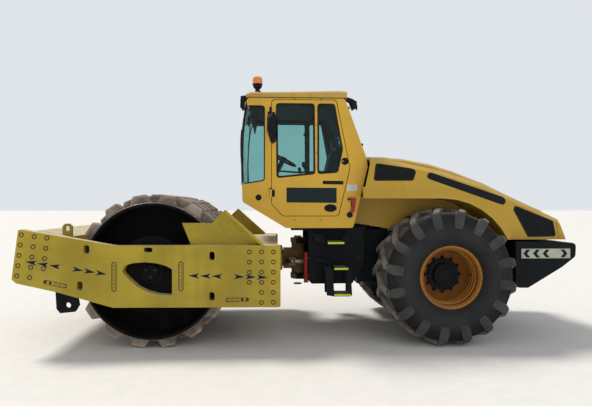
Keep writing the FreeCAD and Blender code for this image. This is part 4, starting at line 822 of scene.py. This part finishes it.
def weight_details():
    """Chevron signs on the sides, lamps and bolts on the rear face."""
    plate = oblong((-2.568, -3.166), (1.113, 0.999))
    for side in SIDES:
        sign = Piece("chevron_sign", "rear", "dark_paint", side)
        sign.prism(plate, WEIGHT_HALF - 0.002, WEIGHT_HALF + 0.0015, "sign")
        middle, reach = 1.056, 0.047
        for k, way in ((0, 1), (1, 1), (2, 1), (4, -1)):
            x = -2.625 - 0.118 * k
            shoulder, tail = x - 0.004 * way, x - 0.052 * way
            loop = [(x + 0.034 * way, middle), (shoulder, middle + reach), (tail, middle + reach),
                    (x - 0.012 * way, middle), (tail, middle - reach), (shoulder, middle - reach)]
            sign.prism(loop, WEIGHT_HALF + 0.0012, WEIGHT_HALF + 0.0018, "gloss")
        for x in (-2.59, -3.144):
            for z in (1.095, 1.017):
                sign.turned([(0.006, 0), (0.006, 0.002), (0.003, 0.003)], (x, WEIGHT_HALF + 0.0012, z),
                            "steel", 12)
        sign.done(0)
        lamp_pair = Piece("tail_lamp", "rear", "dark_paint", side)
        for y, material in ((0.80, "tail"), (0.66, "orange")):
            start = (WEIGHT_END + 0.0015, y, 1.11)
            lamp_pair.turned([(0.062, 0.0), (0.062, 0.012), (0.056, 0.015)], start, "black", 36, along=REAR)
            lamp_pair.turned([(0.053, 0.010), (0.053, 0.016), (0.04, 0.0165)], start, material, 36,
                             along=REAR)
        lamp_pair.done(0.001)
    bolts = Piece("weight_bolts", "rear", "dark_paint")
    for y in (-0.45, -0.15, 0.15, 0.45):
        start, along = (WEIGHT_END, y, 1.05), (-1, 0, -0.02)
        bolts.turned([(0.034, -0.001), (0.034, 0.006), (0.020, 0.008)], start, "dark", 24, along=along)
        bolts.turned([(0.021, 0.004), (0.021, 0.014), (0.017, 0.016)], start, "cast", 6, along=along)
    bolts.done(0.001)


# Hood

FRONT_VENT = [(-0.842, 2.131), (-1.289, 2.066), (-1.325, 2.036), (-1.292, 1.929), (-0.818, 1.926)]
REAR_VENT = [(-2.541, 1.625), (-3.011, 1.438), (-3.046, 1.256), (-2.702, 1.251), (-2.523, 1.576)]
HOOD_BAND = [(-1.459, 1.986), (-1.478, 2.018), (-1.515, 2.024), (-2.390, 1.732), (-2.424, 1.700),
             (-2.426, 1.662), (-2.398, 1.637), (-2.370, 1.640), (-1.500, 1.940), (-1.470, 1.956)]
TAIL_SEAM = Vector((-3.052, 1.440)), Vector((-3.086, 1.226))


def crossing(loop, z):
    """The lowest and highest X where the outline meets a height."""
    ends = zip(loop, loop[1:] + loop[:1])
    spots = [a[0] + (b[0] - a[0]) * (z - a[1]) / (b[1] - a[1]) for a, b in ends
             if (a[1] - z) * (b[1] - z) < 0]
    return min(spots), max(spots)


def hood_details(side):
    """The bare band, the seam near the tail, and the frames and slats of the vents."""
    band = Piece("hood_band", "hood", side=side)
    band.prism(smooth(HOOD_BAND, 0.02, 3), HOOD_HALF, HOOD_HALF + 0.0014, "gloss")
    band.done(0)
    trim = Piece("hood_seams", "hood", "body_yellow", side)
    a, b = TAIL_SEAM
    across = Vector((-(b - a).y, (b - a).x)).normalized() * 0.0025
    trim.prism([a + across, b + across, b - across, a - across], HOOD_HALF, HOOD_HALF + 0.0013, "seal")
    trim.done(0)
    vents = Piece("vent_frames", "hood", side=side)
    pitch, margin = 0.03, 0.012
    for loop in (FRONT_VENT, REAR_VENT):
        outer, inner = smooth(grown(loop, 0.004), 0.03, 4), smooth(grown(loop, -0.014), 0.024, 4)
        vents.band(outer, inner, 0.893, 0.9028, "seal")
        low, high = min(z for x, z in loop), max(z for x, z in loop)
        for k in range(int((high - low) / pitch)):
            z = low + 0.02 + pitch * k
            left, right = crossing(loop, z)
            if right - left > 0.08:
                vents.tube([(left + margin, 0.8975, z), (right - margin, 0.8975, z)], 0.0022, "black", 6)
    vents.done(0.0008)


def hood_tail():
    """The grille and the grab bar on the hood's rear face."""
    tail = Piece("hood_rear_grille", "hood")
    x, half, bar, reach = HOOD_END, 0.34, 1.232, 0.034
    rim = 0.016
    loop = smooth(oblong((-half, half), (1.262, 1.455)), 0.03)
    inner = smooth(oblong((rim - half, half - rim), (1.262 + rim, 1.455 - rim)), 0.02)
    tail.band(loop, inner, x - 0.004, x + 0.002, "seal", "X")
    tail.prism(inner, x - 0.0015, x + 0.001, "mesh", "X")
    for k in range(4):
        z = 1.30 + 0.038 * k
        tail.tube([(x - 0.004, -0.322, z), (x - 0.004, 0.322, z)], 0.004, "black", 8)
    bow = [(x + 0.001, 0.09), (x - 0.03, 0.09), (x - reach, 0.08)]
    grab = [(px, -y, bar) for px, y in bow] + [(px, y, bar) for px, y in reversed(bow)]
    tail.tube(grab, 0.007, "black", 10)
    tail.done(0.001)


# Engine, seen when the hood is up

ENGINE_TOP, ENGINE_END, ENGINE_HALF = 1.75, -2.26, 0.38
COOLER = (-2.47, -2.39)
FAN_Z = 1.53


def engine_details():
    """Rocker cover, manifolds, air filter and silencer on the engine block."""
    top = ENGINE_TOP
    engine = Piece("engine_fittings", "rear", "cast")
    cover = smooth([(-0.12, top - 0.005), (0.12, top - 0.005), (0.11, top + 0.09), (0.07, top + 0.12),
                    (-0.07, top + 0.12), (-0.11, top + 0.09)], 0.03)
    engine.prism(cover, -2.06, -1.34, "gloss", "X")
    for k in range(6):
        x = -2.0 + 0.12 * k
        engine.bolt((x, 0, top + 0.118), 0.010, along=UP)
        for s, material in ((1, "engine"), (-1, "weld")):
            port = [(x, y * s, top + rise) for y, rise in ((0.08, 0.03), (0.17, 0.05), (0.24, 0.045))]
            engine.tube(port, 0.024, material, 12)
    for s, material, radius, hose in ((1, "black", 0.095, "seal"), (-1, "weld", 0.080, "weld")):
        y, can_z = 0.25 * s, top + 0.185
        engine.tube([(-2.05, y, top + 0.045), (-1.35, y, top + 0.045)], 0.042, material, 16)
        can = [(radius * 0.6, 0.0), (radius, 0.02)]
        for k in range(4):
            rib, swollen = 0.10 + 0.09 * k, radius + 0.004
            can += [(radius, rib), (swollen, rib + 0.005), (swollen, rib + 0.015), (radius, rib + 0.02)]
        can += [(radius, 0.46), (radius * 0.6, 0.48)]
        engine.turned(can, (-1.76, y, can_z), material, 32, along=AHEAD)
        engine.tube([(-1.74, y, can_z), (-1.84, y, top + 0.17), (-1.90, y, top + 0.05)], 0.034, hose, 14)
        for k in range(8):
            x = -2.14 + 0.125 * k
            rib_y = ((ENGINE_HALF - 0.002) * s, (ENGINE_HALF + 0.012) * s)
            engine.box((x, x + 0.016), rib_y, (1.38, 1.66), "engine")
        for x in (-1.42, -1.30):
            engine.turned([(0.042, -0.01), (0.042, 0.06), (0.034, 0.072)], (x, ENGINE_HALF * s, 1.47),
                          "gloss", 28, along=(0, s, 0))
    engine.done(0.002)


def engine_cooler():
    """The cooler behind the engine, its fan and its two hoses."""
    cooler = Piece("engine_cooler")
    rear, front = COOLER
    tank = oblong((-0.34, 0.34), (1.36, 1.70))
    cooler.band(smooth(tank, 0.02), smooth(grown(tank, -0.035), 0.01), rear, front, "gloss", "X")
    cooler.prism(smooth(grown(tank, -0.034), 0.01), rear + 0.012, front - 0.012, "mesh", "X")
    shroud = [(0.165, 0.0), (0.165, 0.07), (0.155, 0.07), (0.155, 0.002), (0.05, 0.002)]
    cooler.turned(shroud, (front - 0.004, 0, FAN_Z), "black", 40, along=AHEAD)
    thick, pitch = Vector((0.003, 0, 0)), Vector((0.014, 0, 0))
    for turn in turns(7):
        out = Vector((0, math.cos(turn), math.sin(turn)))
        across = Vector((0, -math.sin(turn), math.cos(turn)))
        blade = []
        for reach, wide in ((0.03, 0.018), (0.145, 0.035)):
            middle = Vector((front + 0.045, 0, FAN_Z)) + out * reach
            lean = across * wide + pitch
            blade.append([middle - lean, middle + lean, middle + lean + thick, middle - lean + thick])
        cooler.skin(blade, "black")
    cooler.turned([(0.045, 0.0), (0.045, 0.05), (0.03, 0.055), (0.03, 0.12)], (front + 0.02, 0, FAN_Z),
                  "cast", 24, along=AHEAD)
    for y, z in ((0.24, 1.66), (-0.24, 1.42)):
        line = ((front - 0.03, z), (front + 0.05, z),
                (ENGINE_END - 0.03, z + 0.02), (ENGINE_END + 0.01, z + 0.02))
        cooler.tube([(x, y, level) for x, level in line], 0.026, "seal", 14)
    cooler.done(0.001)


# Cab

FRONT_PANE = [(0.343, 2.862), (-0.116, 2.862), (-0.122, 2.014), (0.337, 1.966)]
REAR_PANE = [(-0.160, 2.862), (-0.361, 2.862), (-0.461, 2.313), (-0.401, 2.034), (-0.160, 2.014)]
QUARTER_EDGE = [(0.694, 2.835), (0.486, 2.835), (0.486, 1.931), (0.744, 1.887), (0.757, 2.230),
                (0.748, 2.485), (0.727, 2.696)]
DOOR = [(0.399, 2.909), (-0.381, 2.909), (-0.550, 2.083), (-0.408, 1.504), (0.267, 1.504), (0.399, 1.650)]
HINGES = (1.775, 2.532)
KNOB = (-0.491, 0.758, 2.167)
STEP_VENT = (-0.313, 1.597)
PLATE_IN, SEAL_OUT = 0.759, 0.7625


def seal(piece, loop, out, inside, low, high):
    outer, inner = smooth(grown(loop, out), 0.045, 5), smooth(grown(loop, -inside), 0.030, 5)
    piece.band(outer, inner, low, high, "seal")


def cab_seals(side):
    """Rubber around the quarter glass, the door's opening and the door's two panes."""
    windows = Piece("cab_seals", side=side)
    seal(windows, QUARTER_EDGE, 0.004, 0.010, 0.756, SEAL_OUT)
    gasket = 0.703, 0.717
    outer, inner = smooth(grown(DOOR, 0.012), 0.05, 5), smooth(grown(DOOR, -0.018), 0.03, 5)
    windows.band(outer, inner, *gasket, "seal")
    windows.done(0.002)
    panes = Piece("door_seals", f"door_{side}", side=side)
    for loop in (FRONT_PANE, REAR_PANE):
        seal(panes, loop, 0.007, 0.016, 0.736, SEAL_OUT)
    for k in range(5):
        panes.turned([(0.006, -0.002), (0.006, 0.002), (0.003, 0.0035)], (-0.139, SEAL_OUT, 2.10 + 0.17 * k),
                     "black", 12)
    panes.done(0.002)


def door_fittings(side):
    """The door's knob, step vent, bare plates, catch, grab rail and inner panel."""
    door = Piece("door_fittings", f"door_{side}", side=side)
    x, y, z = KNOB
    door.turned([(0.044, 0.0), (0.044, 0.006), (0.036, 0.008), (0.036, 0.004), (0.018, 0.004)], KNOB,
                "black", 36)
    door.prism(stadium((x, z - 0.018), (x, z + 0.018), 0.012), CAB_HALF, 0.775, "black")
    door.turned([(0.009, 0.0), (0.009, 0.018), (0.006, 0.0185)], (x + 0.026, CAB_HALF, z), "steel", 16)
    x, z = STEP_VENT
    vent = [(x + 0.077 * math.cos(a), z + 0.046 * math.sin(a)) for a in turns(36)]
    door.band(vent, grown(vent, -0.012), CAB_HALF - 0.002, 0.7665, "seal")
    door.prism(grown(vent, -0.011), CAB_HALF - 0.002, 0.7612, "black")
    for k in range(-2, 3):
        rise = 0.014 * k
        reach = 0.062 * math.sqrt(max(0.0, 1 - (rise / 0.036) ** 2))
        door.tube([(x - reach, 0.762, z + rise), (x + reach, 0.762, z + rise)], 0.0035, "black", 8)
    door.prism([(0.222, 1.846), (0.222, 1.665), (-0.389, 1.659), (-0.389, 1.843)], PLATE_IN, 0.7606, "teal")
    door.prism([(-0.219, 1.930), (-0.219, 1.887), (-0.471, 1.883), (-0.471, 1.928)], PLATE_IN, 0.7604,
               "gloss")
    door.box((0.364, 0.397), (0.758, 0.770), (1.735, 1.818), "black")
    door.tube([(-0.115, 0.752, 2.70), (-0.085, 0.752, 2.70)], 0.021, "black", 16)
    door.tube([(0.30, 0.715, 2.05), (0.30, 0.690, 2.05), (0.10, 0.680, 2.035), (-0.30, 0.690, 2.045),
               (-0.30, 0.715, 2.045)], 0.011, "black", 10)
    inner = smooth([(0.24, 1.90), (-0.36, 1.90), (-0.36, 1.56), (0.16, 1.56), (0.24, 1.66)], 0.05)
    door.prism(inner, 0.700, 0.721, "trim")
    door.done(0.0015)


def cab_fittings(side):
    """Caps, a bare label, hinge caps and the red handle on the cab's wall."""
    fit = Piece("cab_fittings", side=side)
    fit.turned([(0.036, -0.002), (0.036, 0.004), (0.031, 0.007), (0.010, 0.008)], (0.559, CAB_HALF, 1.725),
               "black", 32)
    fit.prism(oblong((-0.517, -0.640), (1.884, 1.806)), PLATE_IN, 0.7604, "pale")
    for z in HINGES:
        fit.turned([(0.017, 0.0), (0.017, 0.008), (0.012, 0.012)], (0.412, 0.775, z + 0.05), "black", 20,
                   along=UP)
    for z in (1.455, 2.92):
        for x in (0.12, -0.20):
            fit.turned([(0.007, -0.001), (0.007, 0.002), (0.004, 0.003)], (x, CAB_HALF, z), "black", 12)
    fit.turned([(0.036, -0.001), (0.036, 0.010), (0.028, 0.013)], (-0.549, CAB_HALF, 1.515), "black", 28)
    fit.prism([(-0.545, 1.725), (-0.622, 1.722), (-0.612, 1.610), (-0.600, 1.545), (-0.556, 1.545),
               (-0.575, 1.640)], 0.766, 0.788, "red")
    fit.prism([(-0.560, 1.690), (-0.605, 1.690), (-0.598, 1.560), (-0.572, 1.560)], 0.758, 0.767, "black")
    fit.turned([(0.014, 0.0), (0.014, 0.018), (0.009, 0.022)], (-0.535, CAB_HALF, 1.705), "black", 18)
    fit.done(0.0015)


RIB_LINE = ((0.60, 3.0105), (0.44, 3.0105), (-0.43, 3.031))


def roof_trim():
    """Drip rails along the roof's sides and three ribs on top."""
    roof = Piece("roof_trim", "rear", "body_yellow")
    for s in SIDES.values():
        rail = [(x, y * s, 2.936) for x, y in ((0.690, 0.7655), (0.30, 0.7665), (-0.495, 0.7665))]
        roof.tube(rail, 0.0035, "seal", 8)
    for y in (0.30, -0.30, 0.0):
        roof.tube([(x, y, z) for x, z in RIB_LINE], 0.009, "roof", 10)
    roof.done(0)


def beacon_fittings():
    """The beacon's stem, its ridges and its cable."""
    fittings = Piece("beacon_fittings")
    spot = Vector((0.576, 0.6, 3.010))
    fittings.turned([(0.048, 0.0), (0.048, 0.010), (0.030, 0.016), (0.0285, 0.060), (0.052, 0.080),
                     (0.0565, 0.108), (0.063, 0.112), (0.063, 0.122), (0.058, 0.124)], spot, "black", 40,
                    along=UP)
    for z in (0.135, 0.150, 0.165):
        fittings.ring(spot + Vector((0, 0, z)), 0.0605, 0.0018, "orange", 40, 6, along=UP)
    cable = ((-0.03, 0.0, 0.03), (-0.05, 0.01, 0.02), (-0.055, 0.05, 0.006), (-0.04, 0.11, 0.006),
             (-0.015, 0.160, 0.0))
    fittings.tube([spot + Vector(p) for p in cable], 0.006, "seal", 10)
    fittings.done(0.0015)


def lamp_fittings():
    """Rims and lenses of the work lamps under the roof's corners."""
    lamps = Piece("lamp_fittings")
    for s in SIDES.values():
        for start, along, rim, lens in (
                ((0.778, 0.635 * s, 2.882), Vector((1, 0, 0.09)), ((0.056, 0.003), (0.050, 0.005)),
                 ((0.049, 0.002), (0.046, 0.0062), (0.01, 0.0072))),
                ((-0.6485, 0.635 * s, 2.868), Vector((-1, 0, 0.16)), ((0.052, 0.004), (0.046, 0.006)),
                 ((0.045, 0.003), (0.042, 0.0072), (0.01, 0.0082)))):
            lamps.turned([(rim[0][0], -0.006), *rim], start, "black", 36, along=along.normalized())
            lamps.turned(lens, start, "lens", 36, along=along.normalized())
    lamps.done(0.001)


MIRROR_Y, MIRROR_Z = 1.10, (2.40, 2.62)


def mirror_glass(side):
    """The mirror's glass in its rim, and the ball joint at the cab."""
    mirror = Piece("mirror_glass", side=side)
    half, rim = 0.072, 0.008
    y, (low, high) = MIRROR_Y, MIRROR_Z
    loop = smooth(oblong((y - half, y + half), (low, high)), 0.045, 6)
    pane = [[(mirror_face(z) - depth, v, z) for v, z in loop] for depth in (0.0, 0.0035)]
    mirror.skin(pane, "mirror")
    edge = smooth(oblong((y - half - rim, y + half + rim), (low - rim, high + rim)), 0.050, 6)
    rings = [[(mirror_face(z) + dx, v, z) for v, z in ring] for ring, dx in
             ((edge, 0.004), (edge, -0.006), (loop, -0.006), (loop, 0.004))]
    mirror.skin(list(zip(*rings)), "black", closed=True)
    ball = 2.743
    mirror.tube([(0.423, 0.772, ball), (0.423, 0.762, ball)], 0.026, "black", 24)
    mirror.bolt((0.443, 0.762, ball), 0.006)
    mirror.done(0.001)


def mirror_face(z):
    """How far forward the back of the mirror's shell lies at a height."""
    nearest, crease = 0.3347, 2.491
    return nearest + (0.026 * (z - crease) / 0.222 if z > crease else 0.018 * (crease - z) / 0.144)


SCREEN_HALF, GLASS_HALF = 0.72, 0.716
SCREEN_ROWS = [(0.759, 1.876), (0.765, 2.230), (0.756, 2.485), (0.735, 2.696), (CAB_X, CAB_TOP)]
REAR_FOOT, REAR_RISE = (-0.743, 2.221), (0.26, 0.711)


def screen_point(y, share):
    """A point on the outside of the windscreen, by its height as a share."""
    spans = len(SCREEN_ROWS) - 1
    k = min(spans - 1, int(share * spans))
    f = share * spans - k
    x, z = (a * (1 - f) + b * f for a, b in zip(SCREEN_ROWS[k], SCREEN_ROWS[k + 1]))
    return Vector((x + 0.025 * (1 - (y / SCREEN_HALF) ** 2) * math.sin(math.pi * share), y, z))


def rear_point(y, share):
    """A point on the rear screen's plane, by its height as a share."""
    return Vector((REAR_FOOT[0] + REAR_RISE[0] * share, y, REAR_FOOT[1] + REAR_RISE[1] * share))


def screens():
    """The black edge of the windscreen, its wiper, and the rear screen's edge and knobs."""
    edge = Piece("windscreen_edge")
    for s in SIDES.values():
        for point, steps, out in ((screen_point, 12, 0.001), (rear_point, 8, -0.003)):
            line = [point(GLASS_HALF * s, k / steps) + Vector((out, 0, 0)) for k in range(steps + 1)]
            edge.tube(line, 0.008, "seal", 8)
    for share in (0.004, 0.996):
        edge.tube([screen_point(y, share) for y in (-0.71, -0.4, 0.0, 0.4, 0.71)], 0.008, "seal", 8)
    edge.tube([(-0.746, y, 2.224) for y in (-0.71, 0.71)], 0.008, "seal", 8)
    edge.done(0)
    wiper = Piece("windscreen_wiper")
    pivot, reach, rise = screen_point(0.0, 0.0), 0.46, 0.62
    wiper.turned([(0.024, -0.006), (0.024, 0.018), (0.016, 0.024)], pivot + Vector((0.004, 0, -0.035)),
                 "black", 24, along=AHEAD)
    lifted = Vector((0.022, 0, 0))
    arm = [pivot + lifted - Vector((0, 0, 0.035))]
    arm += [screen_point(reach * k / 6, rise * k / 6) + lifted for k in range(1, 7)]
    wiper.tube(arm, 0.006, "black", 8)
    blade = [screen_point(reach + 0.02 * k, rise + 0.075 * (k - 3)) for k in range(-1, 6)]
    wiper.tube([p + Vector((0.010, 0, 0)) for p in blade], 0.0065, "seal", 8)
    wiper.done(0)
    knobs = Piece("rear_screen_knobs")
    off, deepest = 0.64, 0.05
    for s in SIDES.values():
        for share in (0.22, 0.86):
            x, y, z = rear_point(off * s, share)
            bulge = deepest * (1 - (off / SCREEN_HALF) ** 2) * math.sin(math.pi * share)
            knobs.turned([(0.024, -0.002), (0.024, 0.010), (0.014, 0.012), (0.014, 0.022), (0.018, 0.024),
                          (0.016, 0.034)], (x - bulge - 0.008, y, z), "black", 24,
                         along=Vector((-0.939, 0, 0.343)))
    knobs.done(0.001)


def interior():
    """Headliner, console fittings, levers, side consoles and a floor mat."""
    inside = Piece("cab_lining")
    top, floor = LINING_TOP, CAB_FLOOR
    inside.box((-0.44, 0.66), (-0.715, 0.715), (top, 2.931), "trim")
    inside.prism([(0.655, top), (0.655, 2.70), (0.640, 2.70), (0.600, top)], -0.71, 0.71, "trim")
    inside.prism([(-0.47, top), (-0.57, 2.62), (-0.555, 2.62), (-0.40, top)], -0.70, 0.70, "trim")
    inside.box((-0.52, 0.20), (-0.70, 0.70), (floor, floor + 0.006), "seal")
    console = [(-0.50, 1.42), (-0.50, 1.94), (-0.38, 1.98), (0.02, 1.96), (0.06, 1.92), (0.02, 1.42)]
    rest = [(-0.46, 2.02), (-0.46, 2.075), (-0.13, 2.075), (-0.11, 2.02)]
    stick = ((-0.06, 1.95), (-0.03, 2.06), (-0.01, 2.12))
    knob = [(0.012, 0.0), (0.022, 0.012), (0.024, 0.05), (0.016, 0.07), (0.006, 0.075)]
    for s in SIDES.values():
        lever = 0.46 * s
        inside.prism(smooth(console, 0.05), 0.34 * s, 0.58 * s, "trim")
        inside.tube([(x, lever, z) for x, z in stick], 0.010, "black", 10)
        inside.turned(knob, (-0.012, lever, 2.11), "black", 20, along=(0.15, 0, 1))
        inside.prism(smooth(rest, 0.02), 0.30 * s, 0.385 * s, "black")
    dial = [(0.31, 2.02), (0.33, 2.14), (0.44, 2.10), (0.47, 2.02)]
    inside.prism(smooth(dial, 0.02), -0.13, 0.13, "black")
    inside.turned([(0.038, 0.0), (0.046, 0.006), (0.044, 0.022), (0.012, 0.028)], (0.238, 0, 2.262), "black",
                  28, along=(-0.4478, 0, 0.8942))
    inside.tube([(0.62, 0.30, 2.86), (0.62, 0.30, 2.82)], 0.006, "black", 8)
    visor = [(0.605, 2.84), (0.605, 2.66), (0.617, 2.66), (0.617, 2.84)]
    inside.prism(smooth(visor, 0.004), 0.08, 0.52, "trim")
    inside.done(0.002)


PRESSURE, FRAMES = 4.0, 20


def swell(obj, cap, voxel=0.008):
    """Remeshes a piece finely and lets cloth pressure round it, with no point moved further than the cap."""
    scene = bpy.context.scene
    remesh = obj.modifiers.new("Remesh", "REMESH")
    remesh.mode = "VOXEL"
    remesh.voxel_size = voxel
    fine = bpy.data.meshes.new_from_object(obj.evaluated_get(bpy.context.evaluated_depsgraph_get()))
    obj.modifiers.clear()
    obj.data = fine
    cloth = obj.modifiers.new("Cloth", "CLOTH")
    cloth.settings.use_pressure = True
    cloth.settings.uniform_pressure_force = PRESSURE
    cloth.settings.effector_weights.gravity = 0.0
    for frame_number in range(1, FRAMES + 1):
        scene.frame_set(frame_number)
    moved = obj.evaluated_get(bpy.context.evaluated_depsgraph_get()).to_mesh()
    for rest, blown in zip(fine.vertices, moved.vertices):
        step = blown.co - rest.co
        rest.co += step * min(1.0, cap / max(step.length, 1e-9))
    obj.modifiers.clear()
    scene.frame_set(1)
    fine.shade_smooth()
    finer = obj.modifiers.new("Subdivision", "SUBSURF")
    finer.levels = finer.render_levels = 1
    return obj


def cushion(name, loop, half, cap):
    """A stuffed seat part between two Y levels."""
    pad = Piece(name, "rear", "seat_fabric")
    pad.prism(smooth(loop, 0.03), -half, half, "seat")
    obj = swell(pad.done(0), cap)
    return obj


def seat():
    """The driver's seat: three stuffed parts with piping, a shell, a pan and a bellows-covered pedestal."""
    base = cushion("seat_cushion", [(-0.424, 1.774), (-0.426, 1.850), (-0.280, 1.858), (-0.060, 1.864),
                                    (0.034, 1.852), (0.038, 1.790), (0.010, 1.774)], 0.244, 0.011)
    back = cushion("seat_back", [(-0.318, 1.886), (-0.330, 2.000), (-0.346, 2.120), (-0.402, 2.370),
                                 (-0.482, 2.376), (-0.436, 2.060), (-0.412, 1.886)], 0.240, 0.011)
    cushion("seat_headrest", [(-0.412, 2.402), (-0.430, 2.545), (-0.508, 2.548), (-0.492, 2.402)],
            0.135, 0.010)
    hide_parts("seat")
    seams = Piece("seat_seams", "rear", "seat_fabric")

    def on(pad, x, y, z):
        return pad.closest_point_on_mesh(Vector((x, y, z)))[1]

    for y in (-0.135, 0.135):
        seams.tube([on(base, -0.400 + 0.030 * k, y, 1.90) for k in range(14)], 0.0032, "seal", 8)
        line = [on(back, -0.200 - 0.012 * k, y, 1.910 + 0.034 * k) for k in range(14)]
        seams.tube(line, 0.0032, "seal", 8)
    for z in (2.05, 2.20):
        seams.tube([on(back, -0.24, y, z) for y in (-0.13, -0.065, 0.0, 0.065, 0.13)], 0.0028, "seal", 8)
    seams.done(0)
    stand = Piece("seat_frame")
    shell = [(-0.418, 1.80), (-0.440, 2.060), (-0.488, 2.380), (-0.506, 2.384), (-0.462, 2.060),
             (-0.438, 1.77)]
    stand.prism(smooth(shell, 0.02), -0.215, 0.215, "black")
    pan = [(-0.430, 1.752), (-0.430, 1.786), (0.005, 1.786), (0.025, 1.770), (0.0, 1.752)]
    stand.prism(smooth(pan, 0.01), -0.235, 0.235, "black")
    for y in (-0.045, 0.045):
        stand.tube([(-0.455, y, 2.36), (-0.462, y, 2.43)], 0.007, "steel", 10)
    folds = []
    for k in range(17):
        inset = 0.0 if k % 2 else 0.018
        loop = oblong((-0.395 + inset, -0.060 - inset), (inset - 0.170, 0.170 - inset))
        folds.append([(x, y, 1.418 + 0.021 * k) for x, y in smooth(loop, 0.05, 3)])
    stand.skin(folds, "seal")
    stand.done(0.001)


for side in SIDES:
    for build in (beam_welds, guard_bend, beam_arrows, drum_details, step_details, frame_sides,
                  wheel_details, lug_ends, hood_details, cab_seals, door_fittings, cab_fittings,
                  mirror_glass):
        build(side)
for build in (joint_details, weight_details, hood_tail, engine_details, engine_cooler, roof_trim,
              beacon_fittings, lamp_fittings, screens, interior, seat):
    build()


# Stage, light and camera

PHOTO_FOCAL, PHOTO_WIDTH = 500, 592
PHOTO_EYE, PHOTO_TILT, PHOTO_TURN = (0.415, 6.81, 1.63), 90.27, 177.08


def camera():
    """The photograph's viewpoint: level with the cab's sill, a little behind the middle of the machine."""
    data = bpy.data.cameras.new("Camera")
    data.sensor_width = 36.0
    data.lens = data.sensor_width * PHOTO_FOCAL / PHOTO_WIDTH
    data.clip_end = 400
    cam = bpy.data.objects.new("Camera", data)
    bpy.context.scene.collection.objects.link(cam)
    cam.location = PHOTO_EYE
    cam.rotation_euler = (math.radians(PHOTO_TILT), 0, math.radians(PHOTO_TURN))
    bpy.context.scene.camera = cam


def sun(name, energy, rotation, spread, colour):
    data = bpy.data.lights.new(name, "SUN")
    data.energy, data.angle, data.color = energy, math.radians(spread), colour
    obj = bpy.data.objects.new(name, data)
    obj.rotation_euler = [math.radians(a) for a in rotation]
    bpy.context.scene.collection.objects.link(obj)


def stage():
    """A pale floor that fades into a pale backdrop, a soft sky and a soft high sun."""
    mesh = bpy.data.meshes.new("Floor")
    size = 150
    mesh.from_pydata([(x, y, 0) for x, y in oblong((-size, size), (-size, size))], [], [(0, 1, 2, 3)])
    floor = bpy.data.objects.new("Floor", mesh)
    bpy.context.scene.collection.objects.link(floor)
    mesh.materials.append(plain("FloorPaint", (0.66, 0.65, 0.63), 0.85, grain=0.05, tint=0.02))
    world = bpy.data.worlds.new("World")
    bpy.context.scene.world = world
    world.use_nodes = True
    nodes, links = world.node_tree.nodes, world.node_tree.links
    light, seen = nodes["Background"], nodes.new("ShaderNodeBackground")
    light.inputs["Color"].default_value = (0.97, 0.98, 1.0, 1)
    light.inputs["Strength"].default_value = 0.60
    seen.inputs["Color"].default_value = (0.74, 0.78, 0.82, 1)
    path, either, mix = (nodes.new(f"ShaderNode{kind}") for kind in ("LightPath", "Math", "MixShader"))
    either.operation = "MAXIMUM"
    links.new(path.outputs["Is Camera Ray"], either.inputs[0])
    links.new(path.outputs["Is Transmission Ray"], either.inputs[1])
    for index, socket in enumerate((either.outputs[0], light.outputs[0], seen.outputs[0])):
        links.new(socket, mix.inputs[index])
    links.new(mix.outputs[0], nodes["World Output"].inputs[0])
    sun("Sun", 2.9, (30, 10, 40), 14, (1.0, 0.96, 0.89))
    sun("Fill", 0.45, (58, 0, 205), 50, (0.95, 0.97, 1.0))


stage()
camera()
bpy.context.scene.view_settings.view_transform = "Standard"
